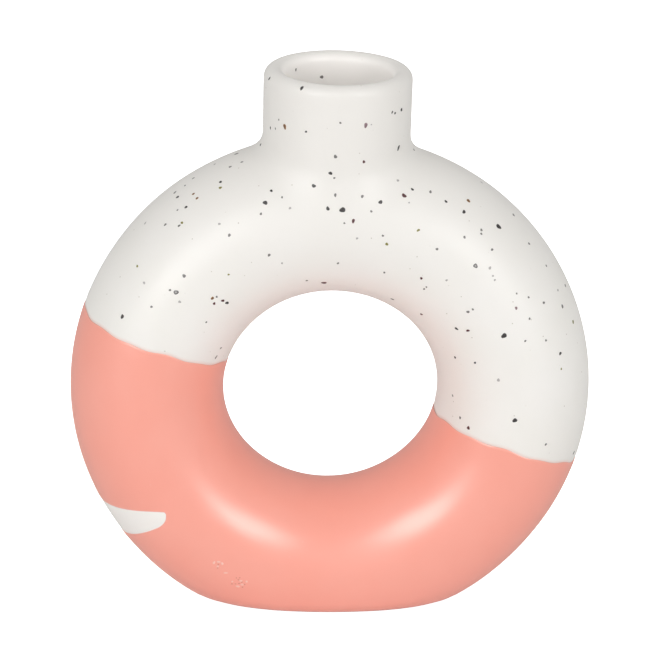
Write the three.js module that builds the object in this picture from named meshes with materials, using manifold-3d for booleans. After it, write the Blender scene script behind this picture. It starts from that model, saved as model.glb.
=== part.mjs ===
// Ring vase: a hollow pottery ring that stands on a pressed flat foot, with a round neck on top.
// Two moulded half rings are luted together, a thrown collar is luted on as the neck, the inside
// is lined with glaze, and the outside carries a white coat above a coral dip with a white patch.
// Units are millimetres, +Z is up, the ring stands in the XZ plane and its front faces -Y.
// The origin is the middle of the foot, on the surface that the vase stands on.
import * as THREE from "three";
import { mergeVertices } from "three/addons/utils/BufferGeometryUtils.js";
import Module from "manifold-3d";

// Ring, measured over the glaze
const RING_RADIUS = 63; // from the ring's centre to the middle of its tube
const TUBE_RADIUS = 26.2; // half the tube's thickness, in the plane of the ring
const TUBE_DEPTH = 58; // the tube's thickness, front to back
const FOOT_PRESS = 12.5; // how far the ring's underside is pressed in to make the foot
const FOOT_SOFTNESS = 5; // how gently the foot's ends turn up into the tube
const FOOT_SPREAD = 0.42; // how much gentler it turns for each millimetre of press

// Neck, measured over the glaze
const NECK_RISE = 24.1; // from the top of the ring to the lip
const NECK_DIAMETER = 49.4;
const NECK_WALL = 6.7; // a full round at the lip
const NECK_FILLET = 5; // how far the luted joint spreads up the neck and along the ring

// Clay, slip and glaze
const WALL = 5.5;
const SEAM_WIDTH = 3.2; // the groove between the half rings, at the surface
const SEAM_DEPTH = 1.6;
const COAT = 0.6; // white coat, coral dip and patch
const LINER = 0.6; // glaze inside the hollow
const BOND = 0.3; // clearance between one layer and the next

// Dip line: a tilted plane, and how far the foot is wiped clean
const DIP_ABOVE_CENTRE = 2; // height over the ring's centre, on the vase's axis
const DIP_TILT = THREE.MathUtils.degToRad(16.4); // falls to the right
const DIP_PITCH = THREE.MathUtils.degToRad(6.5); // falls to the back
const FOOT_WIPE = 0.5; // the dip stops this far above the table

// Patch: a half moon that wraps the outside of the ring at the lower left
const PATCH_LENGTH = 80; // around the tube
const PATCH_WIDTH = 13.9; // along the ring, at its middle
const PATCH_END = 2.6; // along the ring, at its blunt tips
const PATCH_ANGLE = THREE.MathUtils.degToRad(-144.2); // of its straight edge, round the ring

// Fineness of the facets
const RING_STEPS = 44;
const TUBE_STEPS = 16;
const NECK_STEPS = 40;
const FILLET_STEPS = 4;
const LIP_STEPS = 6;
const PATCH_STEPS = [14, 3];
const WELD = 1e-4; // corners closer than this are one

// Sizes that follow. Offsets count outwards from the surface of the clay.
const GLAZED = BOND + COAT;
const CLAY_TUBE = TUBE_RADIUS - GLAZED;
const CLAY_DEPTH = TUBE_DEPTH / 2 - GLAZED;
const CENTRE_HEIGHT = RING_RADIUS + TUBE_RADIUS - FOOT_PRESS;
const TUBE_HEIGHT = CENTRE_HEIGHT + RING_RADIUS; // middle of the tube under the neck
const RING_TOP = CENTRE_HEIGHT + RING_RADIUS + TUBE_RADIUS;
const LIP_HEIGHT = RING_TOP + NECK_RISE;
const MOUTH_RADIUS = NECK_DIAMETER / 2 - NECK_WALL;
const CLAY_BORE = MOUTH_RADIUS + GLAZED;
const REACH = 4 * LIP_HEIGHT; // longer than the vase, for the cutting blocks
const SAG = // how far the ring's facets can lie inside its true surface
  (TUBE_DEPTH / 2) * (1 - Math.cos(Math.PI / TUBE_STEPS)) +
  (RING_RADIUS + TUBE_RADIUS) * (1 - Math.cos(Math.PI / RING_STEPS));

const wasm = await Module();
wasm.setup();

// A closed geometry as a solid that can be joined and cut.
function solid(geometry) {
  const bare = geometry.clone();
  bare.deleteAttribute("normal");
  bare.deleteAttribute("uv");
  const merged = mergeVertices(bare, WELD);
  return new wasm.Manifold(
    new wasm.Mesh({
      numProp: 3,
      vertProperties: new Float32Array(merged.attributes.position.array),
      triVerts: new Uint32Array(merged.index.array),
    }),
  );
}

// The geometry of a joined or cut solid.
function geometryOf(body) {
  const mesh = body.getMesh();
  const geometry = new THREE.BufferGeometry();
  geometry.setAttribute("position", new THREE.BufferAttribute(mesh.vertProperties, 3));
  geometry.setIndex(new THREE.BufferAttribute(mesh.triVerts, 1));
  const faceted = geometry.toNonIndexed();
  faceted.computeVertexNormals();
  return faceted;
}

// A closed band of columns by rows, wrapped both ways, whose corners are placed by pointAt(column, row).
function band(columns, rows, pointAt) {
  const geometry = new THREE.TorusGeometry(2, 1, rows, columns);
  const { position, uv } = geometry.attributes;
  for (let i = 0; i < position.count; i++) {
    const column = Math.round(uv.getX(i) * columns) % columns;
    const row = Math.round(uv.getY(i) * rows) % rows;
    position.setXYZ(i, ...pointAt(column, row).toArray());
  }
  return solid(geometry);
}

// The larger of height and floor, eased over a softness to each side, and flat below that.
function pressed(height, floor, softness) {
  const over = height - floor;
  if (over > softness) return height;
  if (over < -softness) return floor;
  return floor + (over + softness) ** 2 / (4 * softness);
}

// How gently the foot turns up at an angle round the ring: more so where it is pressed in deeper.
function footSoftness(around) {
  const press = -CENTRE_HEIGHT - (RING_RADIUS + TUBE_RADIUS) * Math.sin(around);
  return FOOT_SOFTNESS + FOOT_SPREAD * Math.max(press, 0);
}

// A point of the ring: around is its angle round the ring from +X, across its angle round the
// tube from the outside towards the back, and offset its distance out of the clay's surface.
function ringPoint(around, across, offset) {
  const radius = RING_RADIUS + (CLAY_TUBE + offset) * Math.cos(across);
  const height = CENTRE_HEIGHT + radius * Math.sin(around);
  const depth = (CLAY_DEPTH + offset) * Math.sin(across);
  const level = pressed(height, -offset, footSoftness(around));
  return new THREE.Vector3(radius * Math.cos(around), depth, level);
}

const roundRing = (column) => (2 * Math.PI * column) / RING_STEPS;
const roundTube = (row) => (2 * Math.PI * row) / TUBE_STEPS;

// The whole ring, filled, out to an offset.
function ringSolid(offset) {
  const place = (column, row) => ringPoint(roundRing(column), roundTube(-row), offset);
  return band(RING_STEPS, TUBE_STEPS, place);
}

// Distance from a point to the ring's surface at an offset, and the surface's direction there.
function ringSurface(point, offset) {
  const tube = CLAY_TUBE + offset;
  const depth = CLAY_DEPTH + offset;
  const radius = Math.hypot(point.x, point.z - CENTRE_HEIGHT);
  const out = (radius - RING_RADIUS) / tube;
  const aside = point.y / depth;
  const share = Math.hypot(out, aside);
  const slope = new THREE.Vector3(
    (out / tube) * (point.x / radius),
    aside / depth,
    (out / tube) * ((point.z - CENTRE_HEIGHT) / radius),
  ).divideScalar(share);
  return { distance: (share - 1) / slope.length(), normal: slope.normalize() };
}

// Where an upright line at x, y leaves the top of the ring.
function ringTop(x, y, offset) {
  const share = Math.sqrt(1 - (y / (CLAY_DEPTH + offset)) ** 2);
  const radius = RING_RADIUS + (CLAY_TUBE + offset) * share;
  return CENTRE_HEIGHT + Math.sqrt(radius ** 2 - x ** 2);
}

// One side of the neck's wall at an angle round the neck: up the luted fillet, whose toe is sunk
// under the ring's facets, up the outside, over the lip, and down the bore to the middle of the tube.
function neckProfile(angle, offset) {
  const outward = new THREE.Vector3(Math.cos(angle), Math.sin(angle), 0);
  const up = new THREE.Vector3(0, 0, 1);
  const wall = NECK_DIAMETER / 2 - GLAZED + offset;
  const bore = CLAY_BORE - offset;
  const saddle = outward.clone().multiplyScalar(wall);
  saddle.z = ringTop(saddle.x, saddle.y, offset);
  const normal = ringSurface(saddle, offset).normal;
  const along = outward.clone().addScaledVector(normal, -outward.dot(normal)).normalize();
  const toe = saddle.clone().addScaledVector(along, NECK_FILLET);
  const lift = ringSurface(toe, offset);
  toe.addScaledVector(lift.normal, -lift.distance - SAG - BOND);
  const heel = saddle.clone().addScaledVector(up, NECK_FILLET);
  const fillet = new THREE.QuadraticBezierCurve3(toe, saddle, heel).getPoints(FILLET_STEPS);
  const lip = (wall - bore) / 2;
  const crown = [];
  for (let step = 0; step <= LIP_STEPS; step++) {
    const turn = (Math.PI * step) / LIP_STEPS;
    const point = outward.clone().multiplyScalar(bore + lip + lip * Math.cos(turn));
    point.z = LIP_HEIGHT - NECK_WALL / 2 + lip * Math.sin(turn);
    crown.push(point);
  }
  const root = outward.clone().multiplyScalar(bore);
  root.z = TUBE_HEIGHT;
  return [...fillet, ...crown, root];
}

// The neck with its bore, out to an offset, before the ring is cut out of its foot.
function neckSolid(offset) {
  const profiles = [];
  for (let column = 0; column < NECK_STEPS; column++) {
    profiles.push(neckProfile((2 * Math.PI * column) / NECK_STEPS, offset));
  }
  return band(NECK_STEPS, profiles[0].length, (column, row) => profiles[column][row]);
}

// An upright round hole on the neck's axis, from the middle of the tube upwards.
function boreCutter(radius) {
  const hole = new THREE.CylinderGeometry(radius, radius, REACH, NECK_STEPS);
  hole.rotateX(Math.PI / 2);
  hole.rotateZ(Math.PI / 2);
  hole.translate(0, 0, TUBE_HEIGHT + REACH / 2);
  return solid(hole);
}

// Half of the hollow ring: its outside and its seam face, with the hollow and the neck's hole cut out.
// The seam's edges are bevelled for the slip. side is -1 for the front half and 1 for the back half.
function halfRing(side) {
  const groove = SEAM_WIDTH / 2 / CLAY_DEPTH; // as an angle round the tube
  const half = TUBE_STEPS / 2;
  const section = [];
  for (let step = 0; step <= half; step++) {
    const across = THREE.MathUtils.clamp(roundTube(step), groove, Math.PI - groove);
    section.push([across, 0]);
  }
  section.push([Math.PI, -SEAM_DEPTH], [0, -SEAM_DEPTH]);
  if (side > 0) section.reverse();
  const place = (column, row) => {
    const [across, offset] = section[row];
    const onSeam = across === 0 || across === Math.PI;
    const point = ringPoint(roundRing(column), side * across, offset);
    if (onSeam) point.y = 0;
    return point;
  };
  return band(RING_STEPS, section.length, place)
    .subtract(ringSolid(-WALL))
    .subtract(boreCutter(CLAY_BORE));
}

// The roll of slip that fills the groove between the half rings, outside or inside the ring.
function seamSlip(across) {
  const halfWidth = SEAM_WIDTH / 2 - BOND;
  const depth = SEAM_DEPTH - BOND;
  const section = [
    [0, halfWidth],
    [0, -halfWidth],
    [-depth, 0],
  ];
  if (across > 0) section.reverse();
  const place = (column, row) => {
    const [offset, aside] = section[row];
    const point = ringPoint(roundRing(column), across, offset);
    point.y = aside;
    return point;
  };
  return band(RING_STEPS, section.length, place).subtract(boreCutter(CLAY_BORE + BOND));
}

// A tall block that holds everything above the dip line, or below it, less half the bond.
function dipBlock(side) {
  const block = new THREE.BoxGeometry(REACH, REACH, REACH);
  block.translate(0, 0, (side * (REACH + BOND)) / 2);
  block.rotateX(-DIP_PITCH);
  block.rotateY(DIP_TILT);
  block.translate(0, 0, CENTRE_HEIGHT + DIP_ABOVE_CENTRE);
  return solid(block);
}

// Everything lower than the wiped edge of the foot.
function footBlock() {
  const block = new THREE.BoxGeometry(REACH, REACH, REACH);
  block.translate(0, 0, FOOT_WIPE - REACH / 2);
  return solid(block);
}

// The half moon between two offsets, grown by a margin all round.
function patchSolid(inner, outer, margin) {
  const [columns, rows] = PATCH_STEPS;
  const tube = (TUBE_RADIUS + TUBE_DEPTH / 2) / 2;
  const ring = RING_RADIUS + TUBE_RADIUS;
  const reach = (PATCH_LENGTH / 2 + margin) / tube;
  const moon = new THREE.BoxGeometry(1, 1, 1, columns, rows, 1);
  const { position } = moon.attributes;
  for (let i = 0; i < position.count; i++) {
    const along = 2 * position.getX(i);
    const bulge = Math.sqrt(1 - along ** 2);
    const width = PATCH_END + (PATCH_WIDTH - PATCH_END) * bulge + 2 * margin;
    const up = (position.getY(i) + 0.5) * width - margin;
    const offset = THREE.MathUtils.lerp(inner, outer, position.getZ(i) + 0.5);
    const point = ringPoint(PATCH_ANGLE - up / ring, -along * reach, offset);
    position.setXYZ(i, ...point.toArray());
  }
  return solid(moon);
}

const FINISHES = {
  clay: new THREE.MeshStandardMaterial({ color: 0xd8cbb8, roughness: 0.85, metalness: 0 }),
  slip: new THREE.MeshStandardMaterial({ color: 0xcdbfa9, roughness: 0.9, metalness: 0 }),
  liner: new THREE.MeshStandardMaterial({ color: 0xe6e2da, roughness: 0.35, metalness: 0 }),
  white: new THREE.MeshStandardMaterial({ color: 0xf0efeb, roughness: 0.45, metalness: 0 }),
  coral: new THREE.MeshStandardMaterial({ color: 0xf4a391, roughness: 0.4, metalness: 0 }),
};

const vase = new THREE.Group();

function addPiece(name, body, finish) {
  const mesh = new THREE.Mesh(geometryOf(body), FINISHES[finish]);
  mesh.name = name;
  vase.add(mesh);
}

// Clay pieces, and the slip that joins the half rings
const bonded = ringSolid(BOND);
addPiece("ring_front_half", halfRing(-1), "clay");
addPiece("ring_back_half", halfRing(1), "clay");
addPiece("outer_seam_slip", seamSlip(0), "slip");
addPiece("inner_seam_slip", seamSlip(Math.PI), "slip");
addPiece("neck_collar", neckSolid(0).subtract(bonded), "clay");

// Liner glaze: the skin of the hollow, with a sleeve up through the hole under the neck
const sleeve = boreCutter(CLAY_BORE - BOND).intersect(ringSolid(0));
const liner = ringSolid(-WALL - BOND)
  .add(sleeve)
  .subtract(ringSolid(-WALL - BOND - LINER))
  .subtract(boreCutter(MOUTH_RADIUS));
addPiece("liner_glaze", liner, "liner");

// Outer coats, parted by the dip line
const glazedRing = ringSolid(GLAZED);
const whiteCoat = glazedRing
  .add(neckSolid(GLAZED))
  .subtract(bonded)
  .subtract(neckSolid(BOND))
  .subtract(boreCutter(MOUTH_RADIUS))
  .intersect(dipBlock(1));
addPiece("white_glaze_coat", whiteCoat, "white");
const coralDip = glazedRing
  .subtract(bonded)
  .intersect(dipBlock(-1))
  .subtract(footBlock())
  .subtract(patchSolid(0, GLAZED + COAT, BOND));
addPiece("coral_dip_coat", coralDip, "coral");
addPiece("white_patch", patchSolid(BOND, GLAZED, 0), "white");

export default vase;
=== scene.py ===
"""Dresses a ring-shaped stoneware vase: glaze coats, patch, iron specks, bare clay and a studio.

The vase stands on the origin, in metres, with +Z up the neck and its front facing -Y. Every coat
follows one form, a ring with a neck. A point of the ring is given by two angles: "around" turns
from +X towards +Z round the ring, and "across" turns round the tube from its outermost line (0)
to the back (+90 degrees) and to the front (-90 degrees).
"""

from __future__ import annotations

import logging
import math
from dataclasses import dataclass, field
from enum import Enum

import bpy
import numpy as np
from mathutils import Matrix, Vector
from mathutils.bvhtree import BVHTree

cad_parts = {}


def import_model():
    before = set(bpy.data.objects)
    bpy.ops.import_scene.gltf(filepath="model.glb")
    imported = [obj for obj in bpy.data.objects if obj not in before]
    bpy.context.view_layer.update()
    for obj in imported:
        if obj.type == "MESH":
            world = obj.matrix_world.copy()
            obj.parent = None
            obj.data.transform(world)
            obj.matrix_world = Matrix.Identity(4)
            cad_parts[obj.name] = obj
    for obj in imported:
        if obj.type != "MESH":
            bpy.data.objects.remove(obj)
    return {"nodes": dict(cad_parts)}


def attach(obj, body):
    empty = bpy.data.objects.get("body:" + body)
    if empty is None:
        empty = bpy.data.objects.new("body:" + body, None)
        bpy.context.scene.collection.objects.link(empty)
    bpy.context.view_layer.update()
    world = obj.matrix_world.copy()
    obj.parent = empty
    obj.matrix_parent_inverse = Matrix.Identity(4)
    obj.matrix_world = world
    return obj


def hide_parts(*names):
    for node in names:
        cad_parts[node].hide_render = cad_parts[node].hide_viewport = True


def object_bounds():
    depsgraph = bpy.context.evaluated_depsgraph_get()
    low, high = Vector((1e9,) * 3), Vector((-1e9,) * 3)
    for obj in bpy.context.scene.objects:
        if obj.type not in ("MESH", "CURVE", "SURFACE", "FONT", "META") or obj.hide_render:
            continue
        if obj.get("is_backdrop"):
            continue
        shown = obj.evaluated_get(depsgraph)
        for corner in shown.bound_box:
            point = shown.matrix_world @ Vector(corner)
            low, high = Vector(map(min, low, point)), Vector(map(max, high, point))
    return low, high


LOG = logging.getLogger("ring_vase")
MM = 0.001
BODY = "root"
SHARP_ANGLE = math.radians(50.0)
FULL_TURN = 2 * math.pi
FOOT_ANGLE = 1.5 * math.pi  # Round the ring, at the middle of the foot.
NO_BORDER = 0.1  # Distance given to points with no border of their glaze nearby.
MIX_FIRST, MIX_SECOND, MIX_RESULT = 6, 7, 2  # Sockets of a mix node that hold colours.

Colour = tuple[float, float, float]
Pair = tuple[float, float]
Span = tuple[int, int]
Array = np.ndarray
Piece = bpy.types.Object
Socket = bpy.types.NodeSocket
Tree = bpy.types.NodeTree


class Slot(Enum):
    """Material slots of the glazes, by name."""

    LINER = "liner_glaze"
    WHITE = "white_glaze"
    CORAL = "coral_glaze"


class Arm(Enum):
    """The two places where the dip line crosses the ring."""

    LEFT = "left"
    RIGHT = "right"


class Kind(Enum):
    """Kinds of mark in a glaze, each with the colour of its core and of its rim."""

    IRON = ((0.022, 0.020, 0.021), (0.20, 0.19, 0.18))
    GREY = ((0.165, 0.158, 0.15), (0.46, 0.45, 0.43))
    FAINT = ((0.42, 0.40, 0.385), (0.62, 0.60, 0.57))
    RUST = ((0.16, 0.065, 0.018), (0.90, 0.58, 0.27))
    MAROON = ((0.075, 0.014, 0.018), (0.42, 0.24, 0.24))
    OLIVE = ((0.19, 0.175, 0.03), (0.70, 0.67, 0.33))
    MAUVE = ((0.22, 0.135, 0.15), (0.58, 0.46, 0.45))
    BUBBLE = ((0.50, 0.48, 0.46), (0.045, 0.042, 0.042))
    BLISTER = ((0.96, 0.58, 0.50), (0.92, 0.45, 0.37))
    PIT = ((0.72, 0.27, 0.21), (0.88, 0.36, 0.28))

    @property
    def core(self) -> Colour:
        """Colour of the mark itself."""
        return self.value[0]

    @property
    def rim(self) -> Colour:
        """Colour of its outer border."""
        return self.value[1]


def unit(vectors: Array) -> Array:
    """Vectors of an array brought to length one."""
    return vectors / np.linalg.norm(vectors, axis=-1, keepdims=True)


def vertex_normals(points: Array, faces: Array) -> Array:
    """Works out smooth normals: the sum of the cross products of each face's diagonals.

    Args:
        points: Points of the surface, one row each.
        faces: Four point numbers a face, counter-clockwise from outside.

    Returns:
        One unit normal a point.
    """
    a, b, c, d = (points[faces[:, corner]] for corner in range(4))
    total = np.zeros_like(points)
    np.add.at(total, faces.ravel(), np.repeat(np.cross(c - a, d - b), 4, axis=0))
    return unit(total)


def towards(azimuth: float, elevation: float) -> Array:
    """Unit direction from the vase, by the angle round from its front and the angle above level."""
    flat = math.cos(elevation)
    return np.array((math.sin(azimuth) * flat, -math.cos(azimuth) * flat, math.sin(elevation)))


@dataclass(frozen=True)
class Window:
    """Block of a grid that is left open, from its first to its last row and column."""

    rows: Span
    columns: Span

    @classmethod
    def centred(cls, rows: Span, columns: int, half: int) -> Window:
        """Opens some rows of a grid, by half of their width, in the middle of its columns."""
        return cls(rows, (columns // 2 - half, columns // 2 + half))

    @property
    def size(self) -> Span:
        """Number of the window's cells, by rows and by columns."""
        return self.rows[1] - self.rows[0], self.columns[1] - self.columns[0]

    def around(self, grid: Array) -> Array:
        """Walks round the window's border: up its first column, along its last row, and back.

        Args:
            grid: Any array whose first two axes are the grid's rows and columns.

        Returns:
            The grid's values on the border, in walking order.
        """
        (top, bottom), (left, right) = self.rows, self.columns
        return np.concatenate(
            (
                grid[top:bottom, left],
                grid[bottom, left:right],
                grid[bottom:top:-1, right],
                grid[top, right:left:-1],
            )
        )

    def open_cells(self, cells: Array) -> None:
        """Clears the window's cells in a mask of the grid's faces."""
        cells[self.rows[0] : self.rows[1], self.columns[0] : self.columns[1]] = False


@dataclass
class Weave:
    """One surface of four-sided faces, put together from grids of points.

    Attributes:
        points: Points laid so far.
        edge: Distance from each point to the nearest border of its glaze.
        depth: Thickness of the wall behind each point.
        faces: Faces laid so far, counter-clockwise from outside.
    """

    points: Array = field(default_factory=lambda: np.zeros((0, 3)))
    edge: Array = field(default_factory=lambda: np.zeros(0))
    depth: Array = field(default_factory=lambda: np.zeros(0))
    faces: Array = field(default_factory=lambda: np.zeros((0, 4), dtype=np.int64))

    def lay(self, points: Array, edge: Array | float, depth: Array | float) -> Array:
        """Lays a grid of points.

        Args:
            points: Places, with x, y and z on the last axis.
            edge: Distance to the nearest border of the glaze, in the grid's shape or one for all.
            depth: Wall thickness, in the grid's shape or one for all.

        Returns:
            The numbers of the new points, in the grid's shape.
        """
        shape = points.shape[:-1]
        numbers = len(self.points) + np.arange(math.prod(shape)).reshape(shape)
        self.points = np.concatenate((self.points, points.reshape(-1, 3)))
        self.edge = np.concatenate((self.edge, np.broadcast_to(edge, shape).ravel()))
        self.depth = np.concatenate((self.depth, np.broadcast_to(depth, shape).ravel()))
        return numbers

    def stitch(
        self,
        numbers: Array,
        closed: tuple[bool, bool] = (False, False),
        windows: tuple[Window, ...] = (),
    ) -> None:
        """Joins the points of a grid with faces that look outwards.

        A face runs along the grid's second axis first, then along its first axis.

        Args:
            numbers: Point numbers of the grid.
            closed: Whether the first and the second axis run back to their start.
            windows: Blocks of the grid that stay open.
        """
        for axis, wraps in enumerate(closed):
            if wraps:
                numbers = np.concatenate((numbers, np.take(numbers, [0], axis=axis)), axis=axis)
        corners = (numbers[:-1, :-1], numbers[:-1, 1:], numbers[1:, 1:], numbers[1:, :-1])
        cells = np.ones(corners[0].shape, dtype=bool)
        for window in windows:
            window.open_cells(cells)
        self.faces = np.concatenate((self.faces, np.stack(corners, axis=-1)[cells]))

    def grow(self, border: Array, points: Array, edge: Array | float, depth: Array | float) -> None:
        """Lays lanes of points, one a row, that start from a border's points and are joined to them."""
        lanes = self.lay(points, edge, depth)
        self.stitch(np.concatenate((border[:, None], lanes), axis=1), closed=(True, False))

    def flip(self) -> None:
        """Turns every face to look the other way."""
        self.faces = self.faces[:, ::-1]

    def trim(self) -> None:
        """Drops the points that no face uses, as in an open window of a grid."""
        used, numbers = np.unique(self.faces, return_inverse=True)
        self.faces = numbers.reshape(self.faces.shape)
        self.points, self.edge, self.depth = self.points[used], self.edge[used], self.depth[used]

    def thicken(self, form: VaseForm) -> Shell:
        """Backs the surface with an inner one and closes the gap along its borders.

        Outer points first drift along their normals with the clay's unevenness. An inner point
        lies behind its outer point by the depth there. A border edge is one that no other face
        walks the other way.

        Args:
            form: Shape of the vase, which gives the drift.

        Returns:
            The closed shell.
        """
        self.trim()
        normals = vertex_normals(self.points, self.faces)
        outer = self.points + normals * form.drift(self.points)[:, None]
        inner = outer - normals * self.depth[:, None]
        count = len(outer)
        steps = np.stack((self.faces, np.roll(self.faces, -1, axis=1)), axis=-1).reshape(-1, 2)
        forth = steps[:, 0] * count + steps[:, 1]
        back = steps[:, 1] * count + steps[:, 0]
        start, end = steps[~np.isin(forth, back)].T
        rim = np.stack((end, start, start + count, end + count), axis=-1)
        return Shell(
            points=np.concatenate((outer, inner)),
            faces=np.concatenate((self.faces, self.faces[:, ::-1] + count, rim)),
            edge=np.tile(self.edge, 2),
            outer_points=count,
            outer_faces=len(self.faces),
        )


@dataclass(frozen=True)
class Shell:
    """Closed wall of four-sided faces, whose outer points and faces come first."""

    points: Array
    faces: Array
    edge: Array
    outer_points: int
    outer_faces: int


def make_piece(name: str, points: Array, faces: Array, replaced: str = "") -> Piece:
    """Puts a mesh of four-sided faces into the scene as a piece of the vase.

    Args:
        name: Name of the piece.
        points: Places of its points.
        faces: Point numbers of its faces.
        replaced: Solid of the frame that the piece stands for, if any.

    Returns:
        The piece, shaded smooth but for its sharp edges, riding on the vase.
    """
    mesh = bpy.data.meshes.new(name)
    mesh.vertices.add(len(points))
    mesh.vertices.foreach_set("co", points.astype(np.float32).ravel())
    mesh.loops.add(faces.size)
    mesh.loops.foreach_set("vertex_index", faces.astype(np.int32).ravel())
    mesh.polygons.add(len(faces))
    mesh.polygons.foreach_set("loop_start", np.arange(0, faces.size, 4, dtype=np.int32))
    mesh.update(calc_edges=True)
    mesh.shade_smooth()
    mesh.set_sharp_from_angle(angle=SHARP_ANGLE)
    piece = bpy.data.objects.new(name, mesh)
    bpy.context.scene.collection.objects.link(piece)
    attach(piece, BODY)
    if replaced:
        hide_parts(replaced)
    LOG.info("%s: %d points, %d faces", name, len(points), len(faces))
    return piece


@dataclass(frozen=True)
class VaseForm:
    """Glazed surface of the ring and its neck, which every coat follows.

    The outer radius, half depth and lip height come from the frame's box.
    """

    outer_radius: float
    half_depth: float
    lip_height: float
    tube_radius: float = 26.2 * MM
    foot_press: float = 12.5 * MM
    foot_softness: float = 5.0 * MM
    foot_spread: float = 0.42
    neck_radius: float = 24.7 * MM
    neck_wall: float = 6.7 * MM
    neck_root: float = 4.0 * MM
    fillet: float = 5.5 * MM
    coat: float = 0.6 * MM
    bond: float = 0.3 * MM
    clay_wall: float = 5.5 * MM
    wobble: float = 0.16 * MM
    wobble_waves: tuple[tuple[float, float, float], ...] = (
        (72.0, 31.0, -48.0),
        (-43.0, 88.0, 65.0),
        (96.0, -57.0, 83.0),
    )

    @classmethod
    def from_box(cls, low: Vector, high: Vector) -> VaseForm:
        """Takes the outer sizes from the lowest and the highest corner of the frame's box."""
        return cls((high.x - low.x) / 2, (high.y - low.y) / 2, high.z)

    @property
    def ring_radius(self) -> float:
        """From the ring's centre to the middle of its tube."""
        return self.outer_radius - self.tube_radius

    @property
    def centre_height(self) -> float:
        """Height of the ring's centre."""
        return self.outer_radius - self.foot_press

    @property
    def tube_height(self) -> float:
        """Height of the middle of the tube, under the neck."""
        return self.centre_height + self.ring_radius

    @property
    def bore_radius(self) -> float:
        """Radius of the mouth."""
        return self.neck_radius - self.neck_wall

    @property
    def tube_mean(self) -> float:
        """Mean of the tube's radius and its half depth."""
        return (self.tube_radius + self.half_depth) / 2

    @property
    def clay_offset(self) -> float:
        """Offset of the clay's surface from the glazed one."""
        return -(self.coat + self.bond)

    def reach(self, across: Array, offset: Array | float = 0.0) -> Array:
        """Distance from the ring's axis: ring radius plus tube radius times the cosine."""
        return self.ring_radius + (self.tube_radius + offset) * np.cos(across)

    def pressed(self, around: Array, height: Array, floor: Array | float) -> Array:
        """Presses the underside flat.

        Heights above the floor by more than the softness k stay, and those lower by more than k
        become the floor. Between, floor + (height - floor + k)^2 / 4k eases one into the other.
        The softness grows with how far the ring is pressed in at that angle.

        Args:
            around: Angles round the ring.
            height: Heights of the full ring.
            floor: Height of the foot at the same offset.

        Returns:
            The pressed heights.
        """
        press = -self.centre_height - self.outer_radius * np.sin(around)
        soft = self.foot_softness + self.foot_spread * np.maximum(press, 0)
        over = np.clip(height - floor, -soft, soft)
        return np.maximum(height, floor + (over + soft) ** 2 / (4 * soft))

    def ring_point(self, around: Array, across: Array, offset: Array | float = 0.0) -> Array:
        """Places points of the ring.

        An ellipse of the tube's radius by the half depth, both grown by the offset, is carried
        round a circle of the ring's radius, and the underside is pressed flat.

        Args:
            around: Angles round the ring.
            across: Angles round the tube.
            offset: Distance out of the glazed surface.

        Returns:
            Points, with x, y and z on the last axis.
        """
        reach = self.reach(across, offset)
        height = self.centre_height + reach * np.sin(around)
        depth = (self.half_depth + offset) * np.sin(across)
        level = self.pressed(around, height, self.clay_offset - offset)
        return np.stack(np.broadcast_arrays(reach * np.cos(around), depth, level), axis=-1)

    def ring_top(self, x: Array, y: Array, offset: float = 0.0) -> Array:
        """Height at which an upright line leaves the ring: a circle over the ellipse at that depth.

        Args:
            x: Places across the ring.
            y: Places in its depth.
            offset: Distance out of the glazed surface.

        Returns:
            Heights.
        """
        share = np.sqrt(1 - (y / (self.half_depth + offset)) ** 2)
        radius = self.ring_radius + (self.tube_radius + offset) * share
        return self.centre_height + np.sqrt(radius**2 - x**2)

    def gap(self, points: Array) -> Array:
        """Distance out of the glazed ring and neck, joined by a fillet.

        The ring's part is its ellipse's share less one, scaled to a length. The neck's part is
        that of an upright rod that ends a little above the middle of the tube. Where the two
        differ by less than the fillet k, k/4 times the square of the closeness is taken off.

        Args:
            points: Places, with x, y and z on the last axis.

        Returns:
            Distances, negative inside.
        """
        x, y, z = np.moveaxis(points, -1, 0)
        out = (np.hypot(x, z - self.centre_height) - self.ring_radius) / self.tube_radius
        aside = y / self.half_depth
        share = np.hypot(out, aside)
        slope = np.hypot(out / self.tube_radius, aside / self.half_depth)
        ring = (share - 1) * share / slope
        beyond = np.hypot(x, y) - self.neck_radius
        below = self.tube_height + self.neck_root - z
        corner = np.hypot(np.maximum(beyond, 0), np.maximum(below, 0))
        neck = np.where((beyond > 0) & (below > 0), corner, np.maximum(beyond, below))
        closeness = np.clip(1 - np.abs(ring - neck) / self.fillet, 0, 1)
        return np.minimum(ring, neck) - closeness**2 * self.fillet / 4

    def settle(self, points: Array, steps: int = 12) -> Array:
        """Moves points onto the glazed surface along the slope of their distance from it.

        Args:
            points: Places near the surface.
            steps: How often the points are moved.

        Returns:
            Places on the surface.
        """
        nudge = 0.01 * MM
        shifts = nudge * np.eye(3)
        for _ in range(steps):
            ahead = np.stack([self.gap(points + shift) for shift in shifts], axis=-1)
            behind = np.stack([self.gap(points - shift) for shift in shifts], axis=-1)
            slope = (ahead - behind) / (2 * nudge)
            square = np.sum(slope**2, axis=-1, keepdims=True)
            points = points - self.gap(points)[..., None] * slope / square
        return points

    def drift(self, points: Array) -> Array:
        """Unevenness of the hand-finished clay, along its normal: the mean of a few long sine waves."""
        waves = np.sin(points @ np.array(self.wobble_waves).T + np.arange(len(self.wobble_waves)))
        return self.wobble * waves.mean(axis=-1)


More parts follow.
